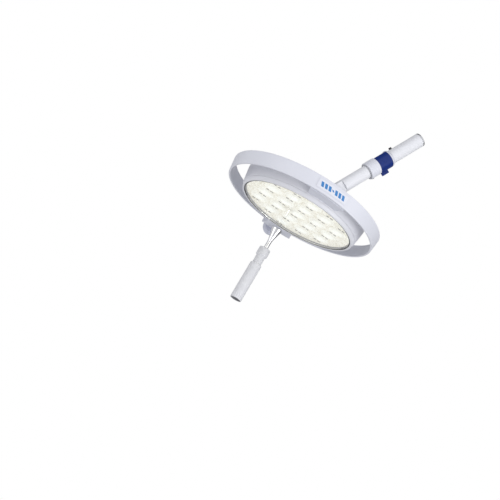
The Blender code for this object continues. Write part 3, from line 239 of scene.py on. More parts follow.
def superbox(size: Sequence[float], squareness: float, steps: int = 24) -> Surface:
    """A box with soft edges: coordinates are half the size times powers of sines and cosines.

    x = a c(u) c(v), y = b c(u) s(v), z = h s(u), with c and s the cosine and sine to squareness.

    Args:
        size: Whole size along x, y and z.
        squareness: 1 is an ellipsoid, and near 0 is a sharp box.
        steps: Number of steps each way.

    Returns:
        The closed surface about the origin.
    """
    def power(value: Grid) -> Grid:
        """Returns the value's size raised to squareness, with its sign."""
        return np.sign(value) * np.abs(value) ** squareness

    u = np.linspace(math.pi / 2, -math.pi / 2, steps + 1)[1:-1]
    v = np.linspace(0, 2 * math.pi, 2 * steps + 1)[:-1]
    up, round_ = np.meshgrid(u, v, indexing="ij")
    half = np.array(size) / 2
    level = power(np.cos(up))
    grid = [level * power(np.cos(round_)), level * power(np.sin(round_)), power(np.sin(up))]
    points = np.stack(grid, axis=-1).reshape(-1, 3) * half
    number = np.arange(len(points)).reshape(len(u), len(v))
    around = np.concatenate([number, number[:, :1]], axis=1)
    faces = [tuple(face) for face in quads_of(around).tolist()]
    faces += pole_fans(around, len(points), len(points) + 1)
    return Surface(np.concatenate([points, [[0, 0, half[2]], [0, 0, -half[2]]]]), faces)


def refined(outline: Grid, longest: float) -> Grid:
    """Adds evenly spaced points to an open outline.

    Args:
        outline: (radius, height) points.
        longest: Distance between neighbours past which points are added.

    Returns:
        The denser outline.
    """
    pieces = []
    for start, end in zip(outline[:-1], outline[1:]):
        count = max(1, math.ceil(np.linalg.norm(end - start) / longest))
        share = np.arange(count)[:, None] / count
        pieces.append(start + (end - start) * share)
    return np.concatenate([*pieces, outline[-1:]])


def ring_of(
    outer: float, inner: float, low: float, high: float, edge: float, segments: int = 96
) -> Surface:
    """A ring of rectangular section with rounded edges."""
    corners = [(outer, high, edge), (outer, low, edge), (inner, low, edge), (inner, high, edge)]
    return revolved(rounded(corners), segments)


def disc_of(radius: float, low: float, high: float, edge: float, segments: int = 96) -> Surface:
    """A round solid plate or pin with rounded edges."""
    corners = [(0, high, 0), (radius, high, edge), (radius, low, edge), (0, low, 0)]
    return revolved(rounded(corners), segments)


# ---- objects


def make_object(name: str, surface: Surface, crease: float = CREASE) -> Piece:
    """Makes a mesh object of a surface, smooth where its faces meet at less than the crease angle.

    Args:
        name: The object's name.
        surface: Points in millimetres.
        crease: Angle in degrees from which an edge stays sharp.

    Returns:
        The object, at the origin.
    """
    mesh = bpy.data.meshes.new(name)
    mesh.from_pydata((surface.points * MM).tolist(), [], surface.faces)
    mesh.shade_smooth()
    mesh.set_sharp_from_angle(angle=math.radians(crease))
    made = bpy.data.objects.new(name, mesh)
    bpy.context.scene.collection.objects.link(made)
    return made


def soften(piece: Piece, width: float) -> None:
    """Rounds a piece's sharp edges.

    Args:
        piece: The piece.
        width: Width of the rounding in millimetres.
    """
    bevel = piece.modifiers.new("soften", "BEVEL")
    bevel.width = width * MM
    bevel.segments = 3
    bevel.limit_method = "ANGLE"
    bevel.angle_limit = math.radians(50)


def carve(piece: Piece, cutter: Surface) -> None:
    """Cuts a closed surface out of a piece and keeps the result as the piece's mesh.

    Args:
        piece: The piece.
        cutter: The surface to remove, in place.
    """
    helper = make_object(piece.name + "_cutter", cutter)
    modifier = piece.modifiers.new("carve", "BOOLEAN")
    modifier.object = helper
    modifier.operation = "DIFFERENCE"
    modifier.solver = "EXACT"
    graph = bpy.context.evaluated_depsgraph_get()
    result = bpy.data.meshes.new_from_object(piece.evaluated_get(graph))
    piece.modifiers.remove(modifier)
    piece.data = result
    piece.data.set_sharp_from_angle(angle=math.radians(CREASE))
    bpy.data.objects.remove(helper)


def drill(
    piece: Piece, place: Grid, radius: float, low: float, high: float, segments: int = 24
) -> None:
    """Cuts a round hole from low to high along the z axis of a place."""
    carve(piece, disc_of(radius, low, high, 0.1, segments).placed(place))


# ---- finishes


def linear(code: str) -> Colour:
    """Turns an sRGB hex colour such as "#E4E6EA" into linear red, green, blue and alpha."""
    values = [int(code[index : index + 2], 16) / 255 for index in (1, 3, 5)]
    red, green, blue = [
        v / 12.92 if v <= 0.04045 else ((v + 0.055) / 1.055) ** 2.4 for v in values
    ]
    return red, green, blue, 1.0


def wire(tree: Tree, node: Node, inputs: dict) -> None:
    """Sets a node's input sockets.

    Args:
        tree: The node's tree.
        node: The node.
        inputs: Sockets by name or number, each with a value or the output socket to link from.
    """
    for name, value in inputs.items():
        if isinstance(value, Socket):
            tree.links.new(value, node.inputs[name])
        else:
            node.inputs[name].default_value = value


def add_node(
    tree: Tree,
    kind: str,
    inputs: Optional[dict] = None,
    stops: Sequence[tuple[float, Colour]] = (),
    **settings: str,
) -> Node:
    """Adds one node and sets it up.

    Args:
        tree: The material's or world's node tree.
        kind: Blender's name of the node's type, without its start, ShaderNode.
        inputs: Input sockets, as wire takes them.
        stops: Position and colour of each stop of a colour ramp.
        settings: The node's own properties.

    Returns:
        The node.
    """
    node = tree.nodes.new("ShaderNode" + kind)
    for name, value in settings.items():
        setattr(node, name, value)
    wire(tree, node, inputs or {})
    for _ in stops[2:]:
        node.color_ramp.elements.new(0.5)
    for element, (position, colour) in zip(node.color_ramp.elements if stops else (), stops):
        element.position = position
        element.color = colour
    return node


class Grain(Enum):
    """How a surface was made, which decides its fine relief."""

    SPRAYED = "sprayed"
    MOULDED = "moulded"
    TURNED = "turned"
    KNURLED = "knurled"
    POLISHED = "polished"


@dataclass(frozen=True)
class Finish:
    """A surface finish: colours, gloss and relief.

    Colours are sRGB hex. roughness varies by swing to each side. patch_mm is the size of the soft
    colour variation, grain_mm the spacing of the relief and relief_mm its depth. glow is emitted
    light, and see_through is transmission.
    """

    name: str
    colour: str
    second: str
    grain: Grain = Grain.MOULDED
    roughness: float = 0.4
    swing: float = 0.05
    metallic: float = 0.0
    patch_mm: float = 10.0
    grain_mm: float = 1.0
    relief_mm: float = 0.03
    coat: float = 0.0
    see_through: float = 0.0
    ior: float = 1.5
    glow: float = 0.0

    def build(self) -> bpy.types.Material:
        """Makes the material once and returns it from then on."""
        found = bpy.data.materials.get(self.name)
        if found is not None:
            return found
        material = bpy.data.materials.new(self.name)
        material.use_nodes = True
        tree = material.node_tree
        shader = tree.nodes["Principled BSDF"]
        wire(tree, shader, {
            "Metallic": self.metallic, "Coat Weight": self.coat, "Coat Roughness": 0.12,
            "Transmission Weight": self.see_through, "Emission Color": linear(self.colour),
            "Emission Strength": self.glow,
        })
        if self.metallic < 0.5:
            shader.inputs["IOR"].default_value = self.ior
        self.dress(tree, shader)
        material.diffuse_color = linear(self.colour)
        return material

    def dress(self, tree: Tree, shader: Node) -> None:
        """Adds the colour variation, the roughness variation and the relief.

        Args:
            tree: The material's node tree.
            shader: Its shader.
        """
        place = add_node(tree, "TexCoord").outputs["Object"]
        patch = add_node(tree, "TexNoise", {
            "Vector": place, "Scale": 1 / (self.patch_mm * MM), "Detail": 3.0,
        }).outputs["Fac"]
        tones = {"Factor": patch, 6: linear(self.colour), 7: linear(self.second)}
        tone = add_node(tree, "Mix", tones, data_type="RGBA")
        rough = add_node(tree, "MapRange", {
            "Value": patch, "To Min": self.roughness - self.swing,
            "To Max": self.roughness + self.swing,
        })
        wire(tree, shader, {"Base Color": tone.outputs[2], "Roughness": rough.outputs["Result"]})
        if self.grain is not Grain.POLISHED:
            self.emboss(tree, shader, self.relief(tree, place), 0.6)

    def emboss(self, tree: Tree, shader: Node, height: Socket, strength: float) -> None:
        """Turns a height pattern into relief_mm of relief."""
        bump = add_node(tree, "Bump", {
            "Height": height, "Strength": strength, "Distance": self.relief_mm * MM,
        })
        wire(tree, shader, {"Normal": bump.outputs["Normal"]})

    def relief(self, tree: Tree, place: Socket) -> Socket:
        """Adds the height pattern of this finish's grain.

        Args:
            tree: The material's node tree.
            place: The coordinates to draw it on.

        Returns:
            The output socket of the pattern.
        """
        inputs = {"Vector": place, "Scale": 1 / (self.grain_mm * MM)}
        if self.grain is Grain.TURNED:
            inputs |= {"Scale": inputs["Scale"] / 6, "Distortion": 0.4, "Detail": 2.0}
            wave = add_node(tree, "TexWave", inputs, wave_type="BANDS", bands_direction="DIAGONAL")
            return wave.outputs["Fac"]
        if self.grain is Grain.KNURLED:
            inputs["Randomness"] = 0.35
            return add_node(tree, "TexVoronoi", inputs).outputs["Distance"]
        inputs["Detail"] = 1.0 if self.grain is Grain.SPRAYED else 4.0
        return add_node(tree, "TexNoise", inputs).outputs["Fac"]


@dataclass(frozen=True)
class LensLight(Finish):
    """Clear moulded lenses with the warm white light behind them, seen as a glowing pattern.

    The mesh carries the attribute "lens": 1 in the middle of a lens, 0.3 at its rim and 0 between
    lenses. brightness gives how much of the lens's own white shows at each value of it.
    """

    white: str = "#FFFCF6"
    cream: str = "#D2CBB8"
    middle: str = "#FFFFFB"
    brightness: tuple[Pair, ...] = (
        (0.0, 0.0), (0.25, 0.0), (0.34, 0.55), (0.45, 0.3), (0.7, 0.9), (1.0, 1.0),
    )

    def dress(self, tree: Tree, shader: Node) -> None:
        """Adds bright lens middles with a thin pale rim, and a cream facet pattern between them.

        Args:
            tree: The material's node tree.
            shader: Its shader.
        """
        place = add_node(tree, "TexCoord").outputs["Object"]
        lens = add_node(tree, "Attribute", attribute_name="lens").outputs["Fac"]
        cells = add_node(tree, "TexVoronoi", {
            "Vector": place, "Scale": 1 / (self.grain_mm * MM), "Randomness": 0.9,
        }).outputs["Distance"]
        cloud = add_node(tree, "TexNoise", {
            "Vector": place, "Scale": 1 / (self.patch_mm * MM), "Detail": 4.0, "Roughness": 0.7,
        }).outputs["Fac"]
        facet = add_node(tree, "Math", {0: cells, 1: cloud}, operation="MULTIPLY").outputs[0]
        toned = add_node(tree, "MapRange", {"Value": facet, "From Min": 0.08, "From Max": 0.38})
        between = add_node(tree, "Mix", {
            "Factor": toned.outputs["Result"], 6: linear(self.white), 7: linear(self.cream),
        }, data_type="RGBA")
        stops = [(position, (value, value, value, 1.0)) for position, value in self.brightness]
        ramp = add_node(tree, "ValToRGB", {"Fac": lens}, stops)
        lit = add_node(tree, "Mix", {
            "Factor": ramp.outputs["Color"], 6: between.outputs[2], 7: linear(self.middle),
        }, data_type="RGBA")
        wire(tree, shader, {
            "Emission Color": lit.outputs[2], "Base Color": linear(self.colour),
            "Roughness": self.roughness,
        })
        self.emboss(tree, shader, cells, 0.5)


# Powder coat on the thin label plate, a shade lighter than on the ring.
LABEL_COAT = Finish(
    "powder_coat_label", "#DBDDE5", "#D7D9E2", Grain.SPRAYED, 0.38, patch_mm=50, grain_mm=3.5
)
# Clamps between the lenses in dark steel, dulled so that they read as small dark dashes; their dark colour is
# painted shadow of the lens holders.
CLAMP_PAINTED_SHADOW = Finish("lens_clamp_painted_shadow", "#6B675C", "#59564C", roughness=0.5, patch_mm=5)
# Screen print in mid blue, thin and slightly glossy.
PRINT = Finish("screen_print_blue", "#2C76B8", "#3880C0", roughness=0.35, patch_mm=8)
# Grey print for dial marks, duller than the blue.
PRINT_GREY = Finish("screen_print_grey", "#6F7480", "#666B77", patch_mm=8)
# Turned acetal, off-white, for the wear disc whose edge shows between stem and sleeve.
ACETAL = Finish("turned_acetal", "#B9BAC0", "#AEB0B6", relief_mm=0.01)
# Matt floor paint with broad, hardly visible patches. It glows a little, so that it stays pale.
FLOOR_PAINT = Finish(
    "matt_floor_paint", "#F0F0F0", "#ECECEC", roughness=0.7, patch_mm=300, grain_mm=8, glow=0.3
)

SLOT_FINISHES: dict[str, Finish] = {
    # Powder coat on aluminium: semi-gloss white with the soft unevenness of sprayed powder.
    "white_powder_coat": Finish(
        "powder_coat_white", "#D8DAE2", "#D3D5DE", Grain.SPRAYED, 0.36,
        patch_mm=70, grain_mm=3.5, relief_mm=0.05,
    ),
    # Baked enamel on steel tube: whiter and smoother than the powder coat, with broad highlights.
    "white_tube_paint": Finish(
        "baked_enamel_white", "#E1E2E6", "#DBDDE2", Grain.SPRAYED, 0.30,
        patch_mm=50, grain_mm=4.0, relief_mm=0.01,
    ),
    # Injection-moulded ABS with a fine spark-eroded texture, drawn at 1.2 mm so that it shows.
    "white_shell": Finish(
        "moulded_abs_white", "#DFE0E6", "#DADBE2", roughness=0.42,
        patch_mm=60, grain_mm=1.2, relief_mm=0.02,
    ),
    # The same moulding in blue-grey, satin.
    "grey_shell": Finish(
        "moulded_abs_blue_grey", "#C9CCDA", "#C2C5D4", roughness=0.45,
        patch_mm=30, grain_mm=1.2, relief_mm=0.02,
    ),
    # Painted die casting: slightly lumpy under its paint.
    "grey_casting": Finish(
        "painted_die_casting", "#D3D5DF", "#CCCFDA", Grain.SPRAYED, 0.42, 0.06,
        patch_mm=25, grain_mm=2.0, relief_mm=0.06,
    ),
    # Glossy moulded polypropylene: deep blue with clear highlights.
    "blue_clip": Finish(
        "moulded_polypropylene_blue", "#001F62", "#022C7C", roughness=0.3,
        patch_mm=12, grain_mm=2.0, relief_mm=0.02, ior=1.38,
    ),
    # Heat-proof polysulfone: white and dull. Its fine knurl is drawn at 2.2 mm so that it shows.
    "grip_plastic": Finish(
        "moulded_polysulfone_grip", "#DDDEE1", "#D3D4D9", Grain.KNURLED, 0.5,
        patch_mm=22, grain_mm=2.2, relief_mm=0.012,
    ),
    # Polished chrome plate: a clean mirror with slight waviness in its sheen.
    "polished_chrome": Finish(
        "polished_chrome", "#C3C6CE", "#B6BAC4", Grain.POLISHED, 0.07, 0.02, metallic=1.0,
        patch_mm=15,
    ),
    # Turned steel: fine tool marks.
    "steel": Finish(
        "turned_steel", "#C8C9CC", "#B4B5B9", Grain.TURNED, 0.28, 0.08, metallic=1.0, patch_mm=6,
        relief_mm=0.01,
    ),
    # Black-oxide screws: dark and slightly oily.
    "dark_steel": Finish(
        "black_oxide_steel", "#46464B", "#38383D", Grain.TURNED, 0.35, 0.08, metallic=0.8,
        patch_mm=4,
        relief_mm=0.01,
    ),
    # Turned bearing bronze: yellow-brown with the same tool marks as the steel.
    "bearing_bronze": Finish(
        "bearing_bronze", "#B98E4A", "#A87F40", Grain.TURNED, 0.32, 0.08, metallic=1.0, patch_mm=8,
        relief_mm=0.01,
    ),
    # Dark grey nylon with a dull moulded skin.
    "dark_plastic": Finish("moulded_nylon_dark", "#5A5B60", "#4E4F55", roughness=0.5, swing=0.06),
    # Silicone rubber seal: dull dark grey.
    "seal_rubber": Finish(
        "silicone_rubber_grey", "#55565C", "#4A4B51", roughness=0.65, grain_mm=1.5
    ),
    # Hardened cover glass: clear and all but colourless.
    "clear_cover": Finish(
        "hardened_glass", "#FBFDFC", "#F8FBFA", Grain.POLISHED, 0.03, 0.01, patch_mm=80,
        see_through=1.0, ior=1.45,
    ),
    # Moulded acrylic lens plate over warm white light, with facets of 4 mm between its lenses.
    "lens_plastic": LensLight(
        "moulded_acrylic_lenses", "#8E8B7C", "#8E8B7C", roughness=0.25,
        patch_mm=16, grain_mm=4.0, relief_mm=0.4, glow=1.0,
    ),
    # Cast aluminium heat sink: bare, with a dull grey cast skin.
    "sink_aluminium": Finish(
        "cast_aluminium_bare", "#B8B9BC", "#A9AAAE", roughness=0.45, swing=0.06, metallic=1.0,
        patch_mm=15, grain_mm=1.5,
    ),
    # Glass-fibre circuit board under glossy green solder mask.
    "board_green": Finish(
        "solder_mask_green", "#1F5A3A", "#1A4E32", roughness=0.35, patch_mm=12, grain_mm=2.0,
        coat=0.3
    ),
}

SLOTS: dict[str, str] = {
    entry["node"]: entry["material_slot"] for entry in frame["record"]["subparts"]
}

# Nodes whose finish isn't their slot's own.
NODE_FINISHES: dict[str, Finish] = {"thrust_washer": ACETAL, "label_plate": LABEL_COAT}


def finish_of(node: str) -> Finish:
    """Returns the finish of a CAD node and of the piece that stands for it."""
    return NODE_FINISHES.get(node, SLOT_FINISHES[SLOTS[node]])


# ---- assemblies


@dataclass
class Assembly:
    """Pieces that ride on one body of the light."""

    layout: Layout
    body: str = ""
    made: list[str] = field(default_factory=list)

    def add(
        self, name: str, surface: Surface, finish: Finish, slot: str, crease: float = CREASE
    ) -> Piece:
        """Makes one piece, dresses it and lets it ride on the body.

        Args:
            name: The piece's name.
            surface: Its mesh, in place, in millimetres.
            finish: Its finish.
            slot: The record's material slot. Not used.
            crease: Angle in degrees from which an edge stays sharp.

        Returns:
            The piece.
        """
        piece = make_object(name, surface, crease)
        piece.data.materials.append(finish.build())
        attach(piece, self.body)
        self.made.append(name)
        LOG.info("%s: %s, %d faces", self.body, name, len(surface.faces))
        return piece

    def stand_in(self, node: str, surface: Surface, crease: float = CREASE) -> Piece:
        """Puts a finer piece in place of a CAD node, in the node's own finish.

        Args:
            node: The CAD node. The piece has its name and "_fine".
            surface: The piece's mesh, in place, in millimetres.
            crease: Angle in degrees from which an edge stays sharp.

        Returns:
            The piece.
        """
        piece = self.add(node + "_fine", surface, finish_of(node), SLOTS[node], crease)
        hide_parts(node)
        return piece

    def soften_node(self, node: str, width: float) -> None:
        """Puts a merged copy of a CAD node, with rounded edges, in place of the node.

        Args:
            node: The CAD node.
            width: Width of the rounding in millimetres.
        """
        merge_mm, flat_degrees = 0.002, 1
        mesh = bmesh.new()
        mesh.from_mesh(frame["nodes"][node].data)
        bmesh.ops.remove_doubles(mesh, verts=mesh.verts, dist=merge_mm * MM)
        limit = math.radians(flat_degrees)
        bmesh.ops.dissolve_limit(mesh, angle_limit=limit, verts=mesh.verts, edges=mesh.edges)
        points = np.array([vertex.co[:] for vertex in mesh.verts]) / MM
        mesh.verts.index_update()
        faces = [tuple(vertex.index for vertex in face.verts) for face in mesh.faces]
        mesh.free()
        soften(self.stand_in(node, Surface(points, faces)), width)

    def build(self) -> None:
        """Builds the pieces of this assembly."""
        raise NotImplementedError


@dataclass
class Arm(Assembly):
    """The fixed arm end: enamelled tube, end plug and powder-coated bearing sleeve.

    Profiles are rows of radius, height above the tilt axis (below the arm's top for the plug) and
    rounding.
    """

    body: str = "arm"
    tube_radius: float = 14.5
    tube_bore: float = 11.5
    tube_low: float = 142.0
    tube_gap: float = 3.3
    plug: Profile = (
        (14.5, 0, 0.6), (14.5, 3, 0.4), (11.2, 3, 0), (11.2, 14, 0.8), (5, 14, 0.5), (5, 0, 0.8),
    )
    sleeve: Profile = (
        (15.8, 160, 1.2), (18, 156, 1.6), (18, 154.3, 0.3), (16, 154.3, 0.2), (16, 123.7, 0.2),
        (18, 123.7, 0.4), (18, 100, 1.2), (13.2, 100, 0.4), (13.2, 141.7, 0), (14.8, 141.7, 0),
        (14.8, 160, 0.4),
    )
    lock_slot: Outline = (
        (19, 130.5), (19, 126.5), (12.2, 126.5), (12.2, 130.5),
    )
    lock_span: Pair = (-28, 28)
    brake_height: float = 170.5
    brake_hole: float = 2.3
    bush_screw_height: float = 104.5
    bush_screw_hole: float = 2.5

    def build(self) -> None:
        """Builds tube, plug and sleeve with their holes."""
        reach, stem = self.layout.reach, self.layout.stem
        pipe = ring_of(self.tube_radius, self.tube_bore, self.tube_low, reach - self.tube_gap, 0.5)
        tube = self.stand_in("arm_tube", pipe.placed(stem))
        to_brake = stem @ shift(0, 0, self.brake_height) @ turn("X", -90)
        drill(tube, to_brake, self.brake_hole, 8, 18)
        plug = [(radius, reach - depth, edge) for radius, depth, edge in self.plug]
        self.stand_in("arm_end_plug", revolved(rounded(plug)).placed(stem))
        sleeve = self.stand_in("arm_sleeve", revolved(rounded(self.sleeve), 144).placed(stem))
        carve(sleeve, revolved(np.array(self.lock_slot), 24, self.lock_span).placed(stem))
        to_screw = stem @ shift(0, 0, self.bush_screw_height) @ turn("X", 90)
        drill(sleeve, to_screw, self.bush_screw_hole, 12, 22)


@dataclass
class Clip(Assembly):
    """The blue snap clip: an open band with a ribbed finger tab."""

    body: str = "clip"
    band: Profile = ((18, 154, 0.7), (18, 124, 0.7), (16.3, 124, 0.3), (16.3, 154, 0.3))
    span: Pair = (115.0, 401.0)
    tab_root: float = 16.8
    tab_reach: float = 24.5
    tab_width: float = 3.0
    tab_height: float = 17.0
    tab_middle: float = 134.0
    rib: Triple = (0.9, 0.9, 13.0)
    rib_pitch: float = 1.5

    def build(self) -> None:
        """Builds band, tab and three ribs as one moulding."""
        depth = self.tab_reach - self.tab_root
        middle = -(self.tab_root + self.tab_reach) / 2
        tab = superbox((self.tab_width, depth, self.tab_height), 0.22)
        ribs = [
            superbox(self.rib, 0.4, 10).placed(
                shift(2.75, -self.tab_reach + 1.4 + self.rib_pitch * index, self.tab_middle)
            )
            for index in range(3)
        ]
        band = revolved(rounded(self.band), 120, self.span)
        tab = tab.placed(shift(self.tab_width / 2, middle, self.tab_middle))
        self.stand_in("lock_clip", Surface.joined([band, tab, *ribs]).placed(self.layout.stem))


@dataclass
class Stem(Assembly):
    """The swivelling stem: enamelled tube with its spigot, and the flattened tongue."""

    body: str = "stem"
    tube: Profile = (
        (10, 140, 0.8), (10, 130.5, 0.2), (8, 130.5, 0.2), (8, 126.5, 0.2), (10, 126.5, 0.2),
        (10, 98.8, 0.2), (13.5, 98.8, 0.7), (13.5, 38, 0.4), (9.3, 38, 0.2), (9.3, 59, 0),
        (4.5, 59, 0), (4.5, 140, 0.3),
    )
    pin_at: Pair = (5.8, 48)
    pin_hole: float = 2.1

    def build(self) -> None:
        """Builds the stem tube with its pin hole, and softens the tongue."""
        stem = self.layout.stem
        tube = self.stand_in("stem_tube", revolved(rounded(self.tube), 128).placed(stem))
        across, height = self.pin_at
        drill(tube, stem @ shift(across, 0, height) @ turn("X", -90), self.pin_hole, -14, 14)
        self.soften_node("stem_tongue", 0.8)


@dataclass
class Head(Assembly):
    """The lamp head: ring, casing, glass, lens plate, bracket, chrome neck and control pod.

    Radii and heights are those of the lamp's own frame, with z running backwards from the front
    face. Profiles are rows of radius, height and rounding. The pod's heights count outwards along
    the dimmer's axis. A bar of the mark has a start, a width round the ring, a low and a high end.
    """

    body: str = "head"
    face: float = 126.8
    ring_low: Pair = (171.3, 167.1)
    ring_top: Pair = (175.0, 168.6)
    ring_heights: Pair = (11.8, 41.9)
    axle_height: float = 22.0
    wall: Profile = (
        (139, 41, 0.6), (134.04, 8.3, 0.5), (131.04, 8.3, 0), (131.6, 12, 0), (119.6, 12, 0),
        (119.6, 14.7, 0), (132, 14.7, 0), (136, 41, 0),
    )
    cover: Profile = (
        (0, 63.5, 0), (68.75, 61.5, 16), (110, 57.5, 14), (132, 52.4, 7), (137.5, 47.07, 3.5),
        (139, 41.3, 0.5), (127.5, 41.3, 0.3), (127, 49.9, 1.5), (107.25, 55, 8), (68.75, 59, 12),
        (0, 61, 0),
    )
    cover_facets: int = 64
    screw: Outline = (
        (0, 0.88), (1.5, 0.88), (1.5, 2.09), (1.725, 2.2), (2.64, 2.2), (2.91, 2.046), (3, 1.76),
        (3, 0.05), (2.95, 0), (1.5, 0), (1.5, -13.6), (1.3, -13.8), (0, -13.8),
    )
    screw_socket: float = 1.5
    cover_screws: float = 132.25
    screw_seat: float = 47.8
    bezel: Profile = (
        (133.6, 8, 0.5), (131, 1, 1.6), (129.8, 0, 1.0), (126.8, 0, 0.6), (126.8, 8, 0),
    )
    lens_radius: float = 19.48
    lens_pitch: float = 46.96
    lens_crown: float = 2.6
    ripple: float = 0.06
    ripple_pitch: float = 3.2
    plate_front: float = 8.3
    clamp: Triple = (3.0, 7.0, 1.4)
    clamp_offset: float = 4.9
    label_heights: Pair = (35.85, 17.85)
    label_span: Pair = (168.5, 191.5)
    label_proud: Pair = (0.3, 1.2)
    mark_proud: Pair = (1.15, 1.27)
    mark_slant: float = 3.4
    bar_starts: Sequence[float] = (-28, -19.4, -10.8, 4.6, 13.2, 21.8)
    long_bar: Triple = (6.0, 22.2, 31.8)
    middle_bar: tuple[float, float, float, float] = (-2.0, 4.0, 25.2, 28.8)
    neck_head: Outline = (
        (0, 20), (3.5, 20), (4, 19.5), (4, 0.7), (12.3, 0.7), (12.7, 0.5),
    )
    neck_tail: Outline = (
        (5, -65.1), (4.1, -65.1), (4.1, -67.5), (5, -67.5), (5, -113.3), (4, -114.3), (0, -114.3),
    )
    shaft_radius: float = 5.0
    flare: float = 7.8
    flare_power: float = 1.35
    flare_length: float = 33.0
    pod: Profile = (
        (0, 179, 0), (16.3, 179, 0), (16.3, 190, 0.4), (18.5, 190, 0.7), (18.5, 178.5, 2.2),
        (15.4, 176, 1.6), (0, 176, 0),
    )
    pod_face: float = 189.6
    tick: Triple = (0.9, 0.35, 0.2)
    tick_radius: float = 15.5
    first_tick: float = 45.0
    tick_step: float = 27.0

    def build(self) -> None:
        """Builds every piece of the head."""
        self.build_ring()
        self.build_casing()
        self.build_cover()
        self.build_front()
        self.build_light()
        self.build_label()
        self.build_neck()
        self.build_pod()
        self.soften_node("joint_block", 0.9)
        self.soften_node("handle_bracket", 0.9)

    def at_angle(self, degrees: float) -> Grid:
        """The frame at axle height whose z axis points outwards from the lamp at that angle."""
        return self.layout.lamp @ shift(0, 0, self.axle_height) @ turn("Z", degrees) @ turn("Y", 90)

    def screw_places(self) -> list[Grid]:
        """The frames of the four cover screws, each in the middle of a facet of the cover."""
        first = 45 + 180 / self.cover_facets
        outwards = shift(self.cover_screws, 0, 0)
        return [self.layout.lamp @ turn("Z", first + 90 * index) @ outwards for index in range(4)]

    def build_ring(self) -> None:
        """Builds the flared ring band with the screw holes under the label."""
        low, high = self.ring_heights
        corners = [
            (self.ring_top[0], high, 1.4), (self.ring_low[0], low, 1.4),
            (self.ring_low[1], low, 1.3), (self.ring_top[1], high, 1.4),
        ]
        band = revolved(rounded(corners, 6), 288).placed(self.layout.lamp)
        ring = self.stand_in("outer_ring", band)
        for angle in (169.9, 190.1):
            drill(ring, self.at_angle(angle), 1.8, 160, 180, 20)
            drill(ring, self.at_angle(angle), 3.3, 170.05, 180)

    def build_casing(self) -> None:
        """Builds the wall with its four screw bosses and the hole for the tilt axle."""
        lamp, places = self.layout.lamp, self.screw_places()
        boss = disc_of(4.5, 30, 41, 0.2, 32)
        bosses = [boss.placed(np.linalg.inv(lamp) @ place) for place in places]
        wall = Surface.joined([revolved(rounded(self.wall), 240), *bosses]).placed(lamp)
        casing = self.stand_in("head_wall", wall)
        for place in places:
            drill(casing, place, 1.8, 33, 46, 20)
        drill(casing, self.at_angle(180), 4.3, 120, 145, 32)

    def build_cover(self) -> None:
        """Builds the domed back cover and its four sunk screws."""
        dome = revolved(rounded(self.cover, 7), 240).placed(self.layout.lamp)
        cover = self.stand_in("back_cover", dome)
        for index, place in enumerate(self.screw_places(), 1):
            drill(cover, place, 1.8, 40, 60, 20)
            drill(cover, place, 3.3, 47.5, 60, 32)
            seat = place @ shift(0, 0, self.screw_seat)
            screw = revolved(np.array(self.screw), 36, swell=self.hexagonal)
            self.stand_in(f"cover_screw_{index}", screw.placed(seat))

    def hexagonal(self, radius: Grid, height: Grid, angle: Grid) -> Grid:
        """Makes the socket's rings six-sided: r = socket cos 30 / cos(a mod 60 - 30)."""
        local = np.mod(angle, math.pi / 3) - math.pi / 6
        six = radius * math.cos(math.pi / 6) / np.cos(local)
        return np.where(radius < self.screw_socket * 1.01, six, radius)

    def build_front(self) -> None:
        """Builds bezel, seal and glass."""
        lamp = self.layout.lamp
        self.stand_in("bezel", revolved(rounded(self.bezel), 240).placed(lamp))
        seal = ring_of(self.face - 0.3, self.face - 1.9, 0.4, 5.6, 0.6, 240)
        self.stand_in("face_seal", seal.placed(lamp))
        glass = disc_of(self.face - 2.2, 1, 5, 0.7, 240)
        self.stand_in("cover_glass", glass.placed(lamp))

    def lens_places(self) -> list[Pair]:
        """Centres of the nineteen lenses: rows of three, four, five, four and three."""
        step = self.lens_pitch * math.sqrt(3) / 2
        return [
            ((index - (4 - abs(row)) / 2) * self.lens_pitch, row * step)
            for row in range(-2, 3)
            for index in range(5 - abs(row))
        ]

    def lens(self) -> Surface:
        """One lens: a dome that falls with the square of the radius, under shallow ripples."""
        front, radius, crown = self.plate_front, self.lens_radius, self.lens_crown
        across = np.linspace(radius - 0.5, 0, 40)
        ripples = self.ripple * (1 - np.cos(across * 2 * math.pi / self.ripple_pitch))
        height = front - crown * (1 - (across / radius) ** 2) - ripples
        dome = np.stack([across, np.maximum(height, front - crown)], axis=-1)
        rim = np.array([
            (0, front + 0.6), (radius, front + 0.6), (radius, front - 0.15),
            (radius - 0.2, front - 0.35),
        ])
        return revolved(np.concatenate([rim, dome]), 64)

    def build_light(self) -> None:
        """Builds the lens plate, with its glow attribute, and the clamps between lenses, painted dark as the
        shadows of the lens holders.
        """
        front, lamp = self.plate_front, self.layout.lamp
        places, lens = self.lens_places(), self.lens()
        plate = disc_of(self.face - 3.6, front, front + 1.6, 0.3, 240)
        whole = Surface.joined([plate, *(lens.placed(shift(x, y, 0)) for x, y in places)])
        piece = self.stand_in("lens_plate", whole.placed(lamp))
        reach = np.linalg.norm(lens.points[:, :2], axis=1) / self.lens_radius
        glow = np.where(reach > 0.995, 0.26, 1 - 0.68 * reach)
        values = np.concatenate([np.zeros(len(plate.points)), np.tile(glow, len(places))])
        attribute = piece.data.attributes.new("lens", "FLOAT", "POINT")
        attribute.data.foreach_set("value", values)
        half = self.lens_pitch / 2
        spots = {(round(x + way * half, 2), round(y, 2)) for x, y in places for way in (-1, 1)}
        clamp = superbox(self.clamp, 0.4, 10)
        clamps = [
            clamp.placed(shift(x, y + offset, front))
            for x, y in sorted(spots)
            for offset in (-self.clamp_offset, self.clamp_offset)
        ]
        # The clamps' dark colour is painted shadow of the lens holders.
        self.add("lens_clamps_painted_shadow", Surface.joined(clamps).placed(lamp), CLAMP_PAINTED_SHADOW, "lens_plastic")

    def ring_outside(self, height: Grid) -> Grid:
        """Outer radius of the ring at a height."""
        share = (height - self.ring_heights[0]) / (self.ring_heights[1] - self.ring_heights[0])
        return self.ring_low[0] + (self.ring_top[0] - self.ring_low[0]) * share

